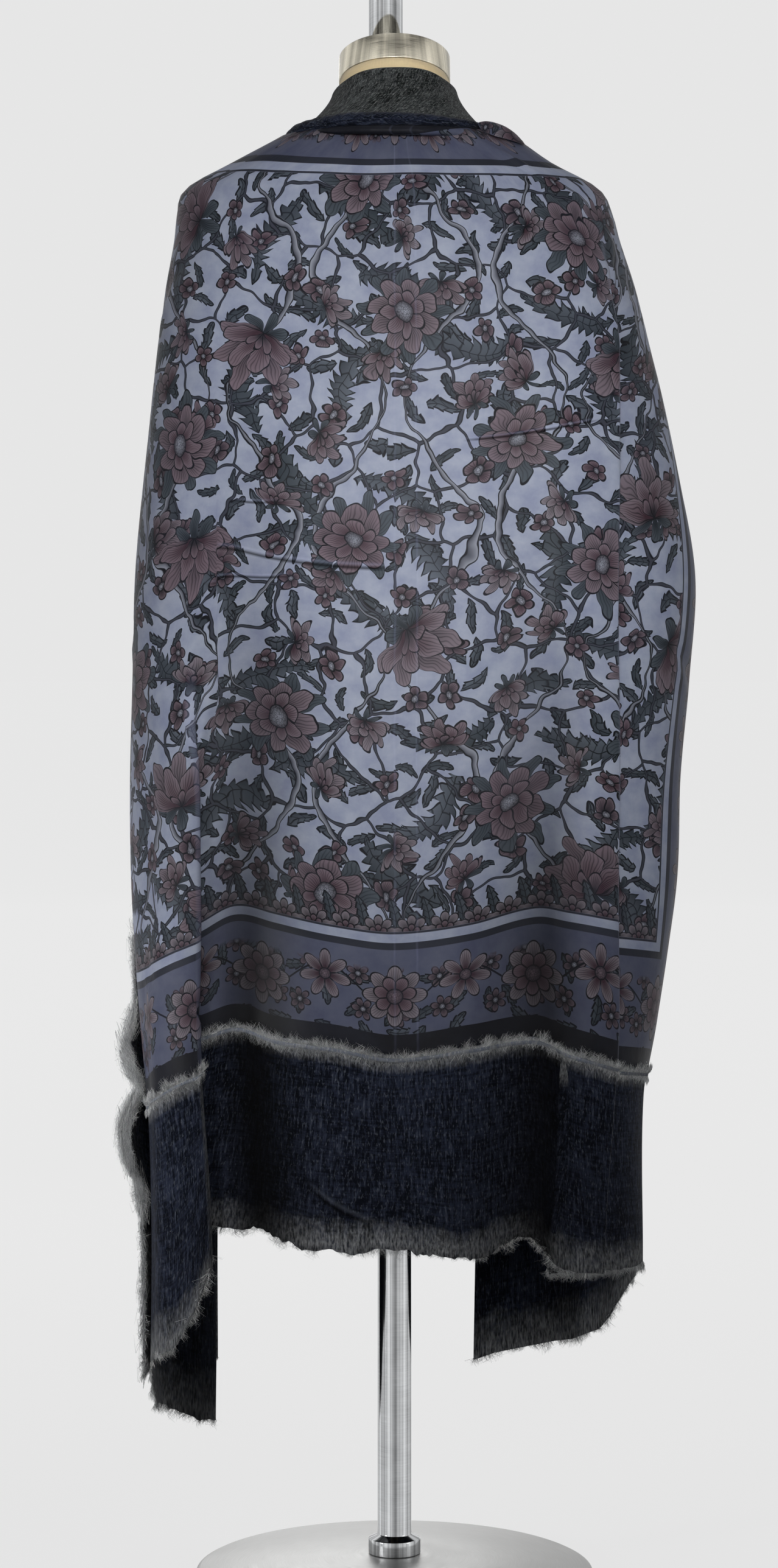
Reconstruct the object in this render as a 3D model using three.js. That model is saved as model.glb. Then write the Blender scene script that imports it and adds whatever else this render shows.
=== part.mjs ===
// Foulard shawl draped over a limbless dress form that stands on a column.
// The shawl is a square woollen cloth with a printed silk panel laid on its outside. Its top edge is
// folded into a stand-up collar, and the rest hangs from the shoulders as a cape, open in front.
// Millimetres, +Z up, the wearer's back towards -Y, the origin in the middle of the base's underside.
import * as THREE from "three";

// ---------- Driving sizes ----------

const WOOL = 1.6; // thickness of the woollen cloth
const SILK = 1.0; // thickness of the silk panel
const GAP = 0.3; // clearance between layers, and where one stretch of cloth meets the next

const SILK_HALF = 508; // half the silk panel's width
const COLUMN_RADIUS = 17.5;
const BASE_RADIUS = 205;
const NECK_RADIUS = 57;
const NECK_TILT = (17 * Math.PI) / 180; // the neck leans forward
const CAP_HEIGHT = 28;
const CAP_FOOT = 1544.5; // height of the neck's top, on its axis
const COLUMN_X = -9; // the column leaves the cap a little to the left
const COLUMN_TOP = 1700;
const FORM_FOOT = 800;

const ROUGH_WOOL = 0.95;
const ROUGH_SILK = 0.5;
const COLOURS = {
  silk: 0x6a7090,
  wool: 0x23293a,
  collar: 0x2a2d2f,
  linen: 0xe2c08c,
  steel: 0xb9b3a4,
  chrome: 0xd6d8da,
};

// Level sections of the hanging cloth. back, side and front: y of the section's back, of its widest
// place and of its front. left and right: half-widths. edgeLeft, edgeRight: x of the front edges.
// corner: 2 is an ellipse, more is squarer.
const SECTIONS = [
  { z: 1500, back: -90, side: -20, front: 28, left: 92, right: 96, edgeLeft: 60, edgeRight: 60, corner: 2.2 },
  { z: 1482, back: -99, side: -16, front: 40, left: 122, right: 127, edgeLeft: 60, edgeRight: 60, corner: 2.3 },
  { z: 1456, back: -109, side: -12, front: 60, left: 171, right: 165, edgeLeft: 61, edgeRight: 61, corner: 2.4 },
  { z: 1431, back: -118, side: -8, front: 82, left: 216, right: 211, edgeLeft: 62, edgeRight: 63, corner: 2.5 },
  { z: 1406, back: -125, side: -6, front: 98, left: 224, right: 224, edgeLeft: 62, edgeRight: 66, corner: 2.6 },
  { z: 1381, back: -130, side: -4, front: 110, left: 227, right: 231, edgeLeft: 62, edgeRight: 69, corner: 2.6 },
  { z: 1330, back: -137, side: -2, front: 122, left: 236, right: 247, edgeLeft: 63, edgeRight: 76, corner: 2.6 },
  { z: 1230, back: -145, side: 0, front: 134, left: 248, right: 272, edgeLeft: 64, edgeRight: 90, corner: 2.7 },
  { z: 1130, back: -149, side: 2, front: 138, left: 258, right: 293, edgeLeft: 65, edgeRight: 102, corner: 2.7 },
  { z: 1030, back: -151, side: 4, front: 140, left: 267, right: 309, edgeLeft: 66, edgeRight: 110, corner: 2.7 },
  { z: 930, back: -151, side: 6, front: 140, left: 270, right: 303, edgeLeft: 67, edgeRight: 112, corner: 2.7 },
  { z: 830, back: -150, side: 8, front: 140, left: 272, right: 294, edgeLeft: 68, edgeRight: 108, corner: 2.7 },
  { z: 730, back: -149, side: 8, front: 141, left: 271, right: 292, edgeLeft: 69, edgeRight: 102, corner: 2.7 },
  { z: 650, back: -149, side: 8, front: 142, left: 267, right: 282, edgeLeft: 70, edgeRight: 98, corner: 2.7 },
  { z: 575, back: -149, side: 8, front: 143, left: 262, right: 270, edgeLeft: 71, edgeRight: 95, corner: 2.7 },
  { z: 500, back: -149, side: 8, front: 144, left: 256, right: 257, edgeLeft: 72, edgeRight: 92, corner: 2.7 },
  { z: 350, back: -149, side: 8, front: 146, left: 252, right: 256, edgeLeft: 74, edgeRight: 88, corner: 2.7 },
  { z: 120, back: -149, side: 8, front: 148, left: 252, right: 256, edgeLeft: 76, edgeRight: 84, corner: 2.7 },
];

// Heights at the centre back of the cloth's cross lines, from under the neck rolls to the raw hem.
// The silk panel ends at SILK_FOOT.
const CROSS_LINES = [
  1474, 1454, 1433, 1405, 1370, 1320, 1250, 1170, 1090, 1010, 930,
  850, 775, 710, 671, 620, 575, 552, 490, 425, 365,
];
const SILK_FOOT = 552;

// How far a cross line lies above its height at the centre back. across: 0 is the centre back, 1 the
// fold at either side of the back, 2 the front edge. The columns are the cross lines at the neck,
// at the chest, at the stripes, at the silk's foot and at the hem.
const LIFT_LEVELS = { neck: 1474, chest: 1250, stripe: 671, foot: 552, hem: 365 };
const LIFT = {
  back: [
    { across: -1.0, neck: 12, chest: 2, stripe: 9, foot: 18, hem: 18 },
    { across: -0.84, neck: 10, chest: 2, stripe: 26, foot: 27, hem: 12 },
    { across: -0.62, neck: 6, chest: 0, stripe: 19, foot: 16, hem: 4 },
    { across: -0.3, neck: 1, chest: 0, stripe: 7, foot: 10, hem: -3 },
    { across: 0.0, neck: 0, chest: 0, stripe: 0, foot: 0, hem: 0 },
    { across: 0.34, neck: 0, chest: 0, stripe: 9, foot: 9, hem: -12 },
    { across: 0.64, neck: 2, chest: 0, stripe: 25, foot: 16, hem: 6 },
    { across: 0.8, neck: 3, chest: 0, stripe: 20, foot: 2, hem: -18 },
    { across: 1.0, neck: 4, chest: 0, stripe: 11, foot: -13, hem: -28 },
  ],
  left: [
    { across: 1.0, neck: 12, chest: 2, stripe: -12, foot: -20, hem: -35 },
    { across: 1.05, neck: 12, chest: 1.5, stripe: -20, foot: -27, hem: -72 },
    { across: 1.15, neck: 11, chest: 1, stripe: -34, foot: -44, hem: -110 },
    { across: 1.3, neck: 8, chest: 0, stripe: -46, foot: -58, hem: -119 },
    { across: 1.6, neck: -4, chest: -4, stripe: -52, foot: -68, hem: -182 },
    { across: 2.0, neck: -22, chest: -8, stripe: -56, foot: -78, hem: -225 },
  ],
  right: [
    { across: 1.0, neck: 4, chest: 0, stripe: -6, foot: -16, hem: -28 },
    { across: 1.35, neck: 2, chest: 0, stripe: -22, foot: -32, hem: -43 },
    { across: 1.6, neck: -6, chest: -2, stripe: -28, foot: -40, hem: -118 },
    { across: 2.0, neck: -24, chest: -6, stripe: -40, foot: -58, hem: -165 },
  ],
};

// The two folds that bound the back. x: the fold's edge over most of its height. low: the edge at the
// hem. soften: the heights over which the fold's layers part. tucks: how much its hidden depth grows
// between two heights.
const FOLDS = {
  left: {
    x: 196,
    low: 183,
    soften: [960, 880],
    tucks: [{ from: 880, to: 420, grows: 32 }],
  },
  right: {
    x: 217,
    low: 203,
    soften: [1400, 1330],
    tucks: [
      { from: 1345, to: 1190, grows: 26 },
      { from: 1100, to: 700, grows: 16 },
    ],
  },
};
const DRIFT = [620, 320]; // heights over which a fold's edge moves from x to low
const FOLD_SHARE = 0.93; // a fold's edge lies no further out than this share of the half-width
const FLAT_STEP = 7; // spacing of the fold's columns where the cloth lies flat
const LAYER = 5.7; // step from one layer of a fold to the next

// Soft troughs and ridges. hand: -1 left, 1 right. across as in LIFT. depth is inward. before and
// after: the reach towards the centre back and away from it. from and to: where it starts and is full.
const SWELLS = [
  { name: "left trough", hand: -1, across: 0.75, depth: 26, before: 82, after: 58, from: 1230, to: 560 },
  { name: "right trough", hand: 1, across: 0.72, depth: 24, before: 86, after: 40, from: 1100, to: 560 },
  { name: "left front trough", hand: -1, across: 1.62, depth: 16, before: 60, after: 60, from: 1300, to: 700 },
  { name: "right front trough", hand: 1, across: 1.55, depth: 18, before: 70, after: 75, from: 1300, to: 700 },
  { name: "right front ridge", hand: 1, across: 1.82, depth: -8, before: 50, after: 50, from: 1250, to: 800 },
];

// The left front edge is turned back over its own panel. z: height, fold: how far the panel's edge
// is folded in, raw: how far from the fold the raw edge lies, lower down it stands proud and waves.
const TURN_BACK = [
  { z: 1150, fold: 0, raw: 14, proud: 0 },
  { z: 1000, fold: 30, raw: 46, proud: 0 },
  { z: 850, fold: 62, raw: 84, proud: 0 },
  { z: 700, fold: 92, raw: 124, proud: 0 },
  { z: 620, fold: 106, raw: 136, proud: 0 },
  { z: 575, fold: 113, raw: 142, proud: 2 },
  { z: 550, fold: 116, raw: 152, proud: 8 },
  { z: 530, fold: 119, raw: 158, proud: 9 },
  { z: 508, fold: 121, raw: 142, proud: 3 },
  { z: 480, fold: 124, raw: 152, proud: 14 },
  { z: 445, fold: 126, raw: 152, proud: 15 },
  { z: 410, fold: 127, raw: 140, proud: 8 },
  { z: 380, fold: 127, raw: 131, proud: 3 },
  { z: 310, fold: 127, raw: 129, proud: 1 },
  { z: 208, fold: 125, raw: 129, proud: 1 },
];

// The collar, a strip of wool folded at its top round the neck. turn: degrees from the centre back,
// left is negative. top and foot: heights of the fold and of the outer layer's foot. flare: how far
// that foot stands off the neck.
const COLLAR = [
  { turn: -150, top: 1518, foot: 1482, flare: 12 },
  { turn: -120, top: 1528, foot: 1492, flare: 20 },
  { turn: -90, top: 1538, foot: 1504, flare: 27 },
  { turn: -60, top: 1543, foot: 1505, flare: 24 },
  { turn: -30, top: 1547, foot: 1503, flare: 15 },
  { turn: 0, top: 1549, foot: 1502, flare: 11 },
  { turn: 30, top: 1548, foot: 1501, flare: 17 },
  { turn: 60, top: 1545, foot: 1500, flare: 28 },
  { turn: 90, top: 1541, foot: 1500, flare: 31 },
  { turn: 120, top: 1530, foot: 1492, flare: 22 },
  { turn: 150, top: 1520, foot: 1482, flare: 12 },
];

// Rolls of cloth under the collar: round stretches of the folded top edge that bulge out.
// turn as in COLLAR, off: distance from the neck's surface, z: height, high and deep: half sizes.
const ROLLS = {
  wool_neck_roll: [
    { turn: -112, off: 26, z: 1478, high: 3.5, deep: 4 },
    { turn: -85, off: 36, z: 1493, high: 8, deep: 7 },
    { turn: -50, off: 27, z: 1493.5, high: 7.5, deep: 8 },
    { turn: 0, off: 17, z: 1492.5, high: 6.8, deep: 7.5 },
    { turn: 40, off: 23, z: 1492, high: 5, deep: 7 },
    { turn: 70, off: 32, z: 1493.5, high: 3, deep: 5 },
    { turn: 92, off: 36, z: 1494, high: 1.5, deep: 3 },
  ],
  silk_hem_roll: [
    { turn: -58, off: 38, z: 1483.6, high: 1.5, deep: 3 },
    { turn: -40, off: 31, z: 1481.2, high: 3.2, deep: 5 },
    { turn: 0, off: 22, z: 1479.6, high: 4.2, deep: 6 },
    { turn: 40, off: 27, z: 1480.7, high: 4.4, deep: 6 },
    { turn: 66, off: 36, z: 1482.5, high: 4, deep: 5 },
  ],
};

// The bunched end of the folded top edge on the right shoulder, a ridge that lies on the silk.
// x and y: its line seen from above, high and deep: half sizes of its section.
const SHOULDER_FOLD = [
  { x: 86, y: -80, high: 2, deep: 4 },
  { x: 98, y: -75, high: 5.5, deep: 8 },
  { x: 114, y: -66, high: 6, deep: 9 },
  { x: 127, y: -57, high: 4, deep: 8 },
  { x: 141, y: -46, high: 5.5, deep: 7 },
  { x: 151, y: -37, high: 4, deep: 6 },
  { x: 163, y: -26, high: 1.2, deep: 4 },
];
const SHOULDER_CLEARANCE = 2.5; // from the wool's face up to that ridge, silk between

// The wool's raw upper edge lies over the silk's foot: how far above the foot it starts and ends.
const FRAY = { low: 1.5, high: 10, thick: 0.8 };

// ---------- Reading the tables ----------

const clamp = (v, low, high) => Math.min(high, Math.max(low, v));

// 0 at from, 1 at to, eased at both ends; from may be above to.
function ease(value, from, to) {
  const t = clamp((value - from) / (to - from), 0, 1);
  return t * t * (3 - 2 * t);
}

// A smooth reading of one column of a table at a value of another, through every row.
function read(table, by, value, column) {
  const rows = table[0][by] < table[table.length - 1][by] ? table : [...table].reverse();
  const at = clamp(value, rows[0][by], rows[rows.length - 1][by]);
  let i = 0;
  while (i < rows.length - 2 && at > rows[i + 1][by]) i++;
  const slope = (k) => {
    const a = rows[Math.max(k - 1, 0)];
    const b = rows[Math.min(k + 1, rows.length - 1)];
    return (b[column] - a[column]) / (b[by] - a[by]);
  };
  const [p, q] = [rows[i], rows[i + 1]];
  const span = q[by] - p[by];
  const t = (at - p[by]) / span;
  const t2 = t * t;
  const t3 = t2 * t;
  return (
    (2 * t3 - 3 * t2 + 1) * p[column] +
    (t3 - 2 * t2 + t) * span * slope(i) +
    (3 * t2 - 2 * t3) * q[column] +
    (t3 - t2) * span * slope(i + 1)
  );
}

// ---------- The hanging cloth ----------

// One half of a level section as a walk from the centre back round to the front edge.
class Walk {
  constructor(z, hand) {
    this.hand = hand;
    const value = (column) => read(SECTIONS, "z", z, column);
    const half = value(hand < 0 ? "left" : "right");
    const edge = value(hand < 0 ? "edgeLeft" : "edgeRight");
    const [back, side, front, power] = [value("back"), value("side"), value("front"), 2 / value("corner")];
    const steps = 96;
    this.points = [];
    this.arcs = [];
    for (let i = 0; i <= steps; i++) {
      const turn = (Math.PI * i) / steps;
      const x = half * Math.abs(Math.sin(turn)) ** power;
      const reach = turn < Math.PI / 2 ? back - side : front - side;
      const y = side + reach * Math.abs(Math.cos(turn)) ** power;
      if (turn > Math.PI / 2 && x < edge) break;
      const last = this.points[i - 1];
      this.arcs.push(last ? this.arcs[i - 1] + Math.hypot(x - last[0], y - last[1]) : 0);
      this.points.push([x, y]);
    }
    this.length = this.arcs[this.arcs.length - 1];
    const { x, low } = FOLDS[hand < 0 ? "left" : "right"];
    const edgeOfFold = x + (low - x) * ease(z, ...DRIFT);
    this.fold = this.arcAtX(Math.min(edgeOfFold, FOLD_SHARE * half));
  }

  arcAtX(x) {
    let i = 0;
    while (this.points[i + 1][0] < x) i++;
    const t = (x - this.points[i][0]) / (this.points[i + 1][0] - this.points[i][0]);
    return this.arcs[i] + t * (this.arcs[i + 1] - this.arcs[i]);
  }

  // The point at a distance along the walk, moved out of the section by out.
  at(arc, out) {
    let i = 0;
    while (i < this.arcs.length - 2 && this.arcs[i + 1] < arc) i++;
    const [p, q] = [this.points[i], this.points[i + 1]];
    const run = this.arcs[i + 1] - this.arcs[i];
    const t = (arc - this.arcs[i]) / run;
    const [tx, ty] = [(q[0] - p[0]) / run, (q[1] - p[1]) / run];
    return [this.hand * (p[0] + t * (q[0] - p[0]) + ty * out), p[1] + t * (q[1] - p[1]) - tx * out];
  }
}

const walks = new Map();
function walkAt(z, hand) {
  const key = hand + ":" + z.toFixed(2);
  if (!walks.has(key)) walks.set(key, new Walk(z, hand));
  return walks.get(key);
}

const SWELL_FALL = 2.2; // how steeply a swell fades towards its reach

// How far out of its section the cloth lies at a distance along its walk, from the soft swells.
function swell(walk, arc, z) {
  let out = 0;
  for (const s of SWELLS) {
    if (s.hand !== walk.hand) continue;
    const centre =
      s.across < 1 ? s.across * walk.fold : walk.fold + (s.across - 1) * (walk.length - walk.fold);
    const off = (arc - centre) / (arc < centre ? s.before : s.after);
    out -= s.depth * ease(z, s.from, s.to) * Math.exp(-SWELL_FALL * off * off);
  }
  return out;
}

function liftAt(part, across, line) {
  const names = Object.keys(LIFT_LEVELS);
  const levels = names.map((name) => ({
    z: LIFT_LEVELS[name],
    lift: read(LIFT[part], "across", across, name),
  }));
  return read(levels, "z", line, "lift");
}

// Places across the cloth. share: of the way across the back, side or margin. In a fold, past is 0 at
// its edge and 1 at its full depth, bulge a step past that, flat the place in steps where the cloth
// lies flat, out the layer, and mix goes from the back's lift to the side's.
const BACK_SHARES = [0.19, 0.38, 0.55, 0.71, 0.86, 1];
const SIDE_SHARES = [0.1, 0.24, 0.4, 0.56, 0.72, 0.86, 1];
const MARGIN_SHARES = [0.5, 1];
const BULGE = 2.3; // how far a fold's turn stands past its layers
const LEAST_DEPTH = 4; // a fold's hidden depth where it begins
const LEAD = 20; // from the back's last place to its fold
const CLIMB = [60, 4]; // from the back's last place, where it climbs onto the right fold's layers
const DROP = [12, 60]; // past the left fold, where the side panel comes down off its layers
const LEAST_SIDE = 40; // least width of the silk past a fold
const LEAST_MARGIN = 24; // least width of bare wool past the silk

function placesOfHalf(hand) {
  const side = hand < 0 ? "left" : "right";
  // On the left the front stretch lies over the back; on the right the back lies over the front.
  const [inner, outer] = hand < 0 ? [0, 1] : [-1, 0];
  const outs = hand < 0 ? [0, 1, 2] : [2, 1, 0];
  const folded = [
    { past: inner, out: outs[0], mix: 0 },
    { past: outer, out: outs[0], mix: 0 },
    { past: outer, bulge: BULGE, out: (outs[0] + outs[1]) / 2, mix: 0 },
    { past: outer, out: outs[1], mix: 0.3 },
    { past: inner, out: outs[1], mix: 0.8, cut: true },
    { past: inner, bulge: -BULGE, out: (outs[1] + outs[2]) / 2, mix: 1 },
    { past: inner, out: outs[2], mix: 1 },
    { past: outer, out: outs[2], mix: 1 },
  ];
  return [
    ...BACK_SHARES.map((share) => ({ kind: "back", share })),
    ...folded.map((place, k) => ({ kind: "fold", flat: k - 4, bulge: 0, ...place })),
    ...SIDE_SHARES.map((share) => ({ kind: "side", share, silkEdge: share === 1 })),
    ...MARGIN_SHARES.map((share) => ({ kind: "margin", share })),
  ].map((place) => ({ ...place, hand, side }));
}

// Where a place lies on the level section at a height: its distance along the walk, the walk's end,
// and how far out the fold's layers under it carry it.
function along(place, z) {
  const { hand, side, kind, share } = place;
  const { soften, tucks } = FOLDS[side];
  // The layers part first, and the turns close after that.
  const [from, to] = soften;
  const parted = ease(z, from, to);
  const soft = ease(z, (from + to) / 2, 2 * to - from);
  const depth = tucks.reduce((sum, { from, to, grows }) => sum + grows * ease(z, from, to), LEAST_DEPTH);
  const walk = walkAt(z, hand);
  const end = walk.length - (hand < 0 ? read(TURN_BACK, "z", z, "fold") : 0);
  const folded = (past, bulge, flat) =>
    walk.fold + flat * FLAT_STEP * (1 - soft) + (past * depth + bulge) * soft;
  if (kind === "fold") {
    return { walk, end, arc: folded(place.past, place.bulge, place.flat), out: place.out * LAYER * parted };
  }
  if (kind === "back") {
    const last = folded(hand < 0 ? 0 : -1, 0, -4) - LEAD;
    const arc = share * last;
    const layers = hand < 0 ? 0 : 2 * ease(arc, last - CLIMB[0], last - CLIMB[1]);
    return { walk, end, arc, out: layers * LAYER * parted };
  }
  const start = folded(hand < 0 ? 1 : 0, 0, 3);
  const silkEnd = clamp(SILK_HALF - 2 * depth * soft, start + LEAST_SIDE, end - LEAST_MARGIN);
  const arc = kind === "side" ? start + share * (silkEnd - start) : silkEnd + share * (end - silkEnd);
  const layers = hand < 0 ? 2 * (1 - ease(arc, start + DROP[0], start + DROP[1])) : 0;
  return { walk, end, arc, out: layers * LAYER * parted };
}

// The point of the cloth's outer woollen face at a place across it, on a cross line.
function clothPoint(place, line) {
  const { hand, side, kind } = place;
  const level = along(place, line);
  const { fold } = level.walk;
  const mix = { back: 0, fold: place.mix }[kind] ?? 1;
  const onBack = mix === 0 ? Math.min(level.arc / fold, 1) : 1;
  const onSide = mix === 1 ? 1 + Math.max(level.arc - fold, 0) / (level.end - fold) : 1;
  const backLift = liftAt("back", hand * onBack, line);
  const z = line + backLift + (liftAt(side, onSide, line) - backLift) * mix;
  const { walk, arc, out } = along(place, z);
  const [x, y] = walk.at(arc, out + swell(walk, arc, z));
  return new THREE.Vector3(x, y, z);
}

const centreBack = { kind: "back", share: 0, hand: 1, side: "right" };
const ACROSS = [...placesOfHalf(-1).reverse(), centreBack, ...placesOfHalf(1)];
const clothGrid = CROSS_LINES.map((line) => ACROSS.map((place) => clothPoint(place, line)));

// ---------- Solids from grids of points ----------

// The outward normals of a grid whose rows run down and whose columns run from left to right.
function gridNormals(grid) {
  return grid.map((row, r) =>
    row.map((_, c) => {
      const across = new THREE.Vector3().subVectors(
        row[Math.min(c + 1, row.length - 1)],
        row[Math.max(c - 1, 0)],
      );
      const down = new THREE.Vector3().subVectors(
        grid[Math.min(r + 1, grid.length - 1)][c],
        grid[Math.max(r - 1, 0)][c],
      );
      return down.cross(across).normalize();
    }),
  );
}

// A closed wall between two copies of a grid, moved along its normals by outer and by inner.
function wall(grid, normals, outer, inner) {
  const rows = grid.length;
  const columns = grid[0].length;
  const positions = [];
  for (const offset of [outer, inner])
    grid.forEach((row, r) =>
      row.forEach((point, c) => {
        const moved = point.clone().addScaledVector(normals[r][c], offset);
        positions.push(moved.x, moved.y, moved.z);
      }),
    );
  const index = [];
  const o = (r, c) => r * columns + c;
  const i = (r, c) => rows * columns + r * columns + c;
  const quad = (a, b, c, d) => index.push(a, b, c, a, c, d);
  for (let r = 0; r < rows - 1; r++)
    for (let c = 0; c < columns - 1; c++) {
      quad(o(r, c), o(r + 1, c), o(r + 1, c + 1), o(r, c + 1));
      quad(i(r, c), i(r, c + 1), i(r + 1, c + 1), i(r + 1, c));
    }
  for (let c = 0; c < columns - 1; c++) {
    quad(o(0, c), o(0, c + 1), i(0, c + 1), i(0, c));
    quad(o(rows - 1, c), i(rows - 1, c), i(rows - 1, c + 1), o(rows - 1, c + 1));
  }
  for (let r = 0; r < rows - 1; r++) {
    quad(o(r, 0), i(r, 0), i(r + 1, 0), o(r + 1, 0));
    quad(o(r, columns - 1), o(r + 1, columns - 1), i(r + 1, columns - 1), i(r, columns - 1));
  }
  return solid(positions, index);
}

function solid(positions, index) {
  const geometry = new THREE.BufferGeometry();
  geometry.setAttribute("position", new THREE.Float32BufferAttribute(positions, 3));
  geometry.setIndex(index);
  geometry.computeVertexNormals();
  return geometry;
}

// A closed solid through rings of points, each ring anticlockwise seen from above, lowest first.
function loft(rings) {
  const count = rings[0].length;
  const positions = rings.flat().flatMap((p) => [p.x, p.y, p.z]);
  const index = [];
  for (let r = 0; r < rings.length - 1; r++)
    for (let k = 0; k < count; k++) {
      const next = (k + 1) % count;
      const [a, b] = [r * count + k, r * count + next];
      index.push(a, b, b + count, a, b + count, a + count);
    }
  const middle = (ring) => ring.reduce((sum, p) => sum.add(p), new THREE.Vector3()).divideScalar(count);
  for (const [ring, flip] of [[0, true], [rings.length - 1, false]]) {
    const hub = positions.length / 3;
    const m = middle(rings[ring].map((p) => p.clone()));
    positions.push(m.x, m.y, m.z);
    for (let k = 0; k < count; k++) {
      const [a, b] = [ring * count + k, ring * count + ((k + 1) % count)];
      index.push(...(flip ? [b, a, hub] : [a, b, hub]));
    }
  }
  return solid(positions, index);
}

const group = new THREE.Group();
group.name = "foulard_shawl_on_dress_form";

function add(parent, name, geometry, colour, roughness, metalness = 0) {
  const material = new THREE.MeshStandardMaterial({ color: colour, roughness, metalness });
  const mesh = new THREE.Mesh(geometry, material);
  mesh.name = name;
  parent.add(mesh);
  return mesh;
}

// ---------- The shawl ----------

const shawl = new THREE.Group();
shawl.name = "shawl";
group.add(shawl);

// The columns of each stretch that shows: the cloth is cut inside the hidden layer of each fold.
// tucked: columns at its left end so deep in the fold that no frayed strip lies on them.
const cuts = ACROSS.map((place, c) => (place.cut ? c : -1)).filter((c) => c >= 0);
const silkEdges = ACROSS.map((place, c) => (place.silkEdge ? c : -1)).filter((c) => c >= 0);
const STRETCHES = [
  { name: "left", from: 0, to: cuts[0], tucked: 0 },
  { name: "back", from: cuts[0], to: cuts[1], tucked: 3 },
  { name: "right", from: cuts[1], to: ACROSS.length - 1, tucked: 2 },
];

// The part of a grid between two columns, drawn in a little where it is cut from the next.
function stretch(grid, from, to, last) {
  return grid.map((row) => {
    const points = row.slice(from, to + 1).map((p) => p.clone());
    const drawIn = (end, neighbour) => {
      const away = new THREE.Vector3().subVectors(neighbour, end);
      end.addScaledVector(away.normalize(), GAP);
    };
    if (from > 0) drawIn(points[0], points[1]);
    if (to < last) drawIn(points[points.length - 1], points[points.length - 2]);
    return points;
  });
}

const clothNormals = gridNormals(clothGrid);
const silkRows = CROSS_LINES.indexOf(SILK_FOOT) + 1;
for (const { name, from, to } of STRETCHES) {
  const last = ACROSS.length - 1;
  const normals = clothNormals.map((row) => row.slice(from, to + 1));
  const wool = wall(stretch(clothGrid, from, to, last), normals, 0, -WOOL);
  add(shawl, "wool_" + name, wool, COLOURS.wool, ROUGH_WOOL);

  const [start, end] = [Math.max(from, silkEdges[0]), Math.min(to, silkEdges[1])];
  const silkGrid = stretch(clothGrid.slice(0, silkRows), from, to, last).map((row) =>
    row.slice(start - from, end - from + 1),
  );
  const silkNormals = clothNormals.slice(0, silkRows).map((row) => row.slice(start, end + 1));
  add(shawl, "silk_" + name, wall(silkGrid, silkNormals, GAP + SILK, GAP), COLOURS.silk, ROUGH_SILK);
}

// A strip of frayed wool over the foot of the silk, made from the silk's last two rows.
for (const { name, from, to, tucked } of STRETCHES) {
  const last = ACROSS.length - 1;
  const [start, end] = [Math.max(from + tucked, silkEdges[0]), Math.min(to, silkEdges[1])];
  const cut = (grid) => stretch(grid, from, to, last).map((row) => row.slice(start - from, end - from + 1));
  const [above, foot] = cut(clothGrid.slice(silkRows - 2, silkRows));
  const normals = clothNormals[silkRows - 1].slice(start, end + 1);
  const rise = (height) => foot.map((p, c) => p.clone().lerp(above[c], height / p.distanceTo(above[c])));
  const face = GAP + SILK + GAP;
  const strip = wall([rise(FRAY.high), rise(FRAY.low)], [normals, normals], face + FRAY.thick, face);
  add(shawl, "wool_fray_" + name, strip, COLOURS.wool, ROUGH_WOOL);
}

// The left panel's faceted outer face cut level at a height, walked from its front edge.
function panelLevel(z) {
  const columns = ACROSS.slice(0, cuts[0] - 3).map((_, c) => clothGrid.map((row) => row[c]));
  const points = columns.map((column) => {
    let r = 0;
    while (r < column.length - 2 && column[r + 1].z > z) r++;
    const t = clamp((z - column[r].z) / (column[r + 1].z - column[r].z), 0, 1);
    return column[r].clone().lerp(column[r + 1], t);
  });
  return (distance, out) => {
    let c = 0;
    let done = 0;
    const run = (k) => points[k].distanceTo(points[k + 1]);
    while (c < points.length - 2 && done + run(c) < distance) done += run(c++);
    const turnAt = (k) => {
      const [a, b] = [points[Math.max(k - 1, 0)], points[Math.min(k + 1, points.length - 1)]];
      return new THREE.Vector3(b.y - a.y, a.x - b.x, 0).normalize();
    };
    const t = (distance - done) / run(c);
    const place = points[c].clone().lerp(points[c + 1], t);
    const normal = turnAt(c).lerp(turnAt(c + 1), clamp(t, 0, 1)).normalize();
    place.addScaledVector(normal, out);
    return new THREE.Vector3(place.x, place.y, z);
  };
}

const TURN_STEPS = 38;
const TURN_CLEARANCE = 4.6; // from the silk's face up to the turned-back layer
const TURN_REACH = [2.5, 4.1]; // how far past the panel's edge the turn's foot and its middle stand

// The turned-back left front edge, a wall that turns round the panel's edge and lies on its outside.
function turnBackGrid() {
  const shares = [0, 0.12, 0.26, 0.4, 0.55, 0.7, 0.85, 1];
  const stand = GAP + SILK + GAP + WOOL / 2 + TURN_CLEARANCE;
  const [first, last] = [TURN_BACK[0].z, TURN_BACK[TURN_BACK.length - 1].z];
  const rows = [];
  for (let k = 0; k <= TURN_STEPS; k++) {
    const z = first + ((last - first) * k) / TURN_STEPS;
    const [raw, proud] = ["raw", "proud"].map((name) => read(TURN_BACK, "z", z, name));
    const at = panelLevel(z);
    const turn = [at(-TURN_REACH[0], -WOOL / 2), at(-TURN_REACH[1], stand / 2)];
    rows.push([...turn, ...shares.map((share) => at(share * raw, stand + proud * share * share))]);
  }
  return rows;
}
const turnBack = turnBackGrid();
const turnBackWall = wall(turnBack, gridNormals(turnBack), WOOL / 2, -WOOL / 2);
add(shawl, "wool_turn_back", turnBackWall, COLOURS.wool, ROUGH_WOOL);

// ---------- The neck: collar and rolls ----------

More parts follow.
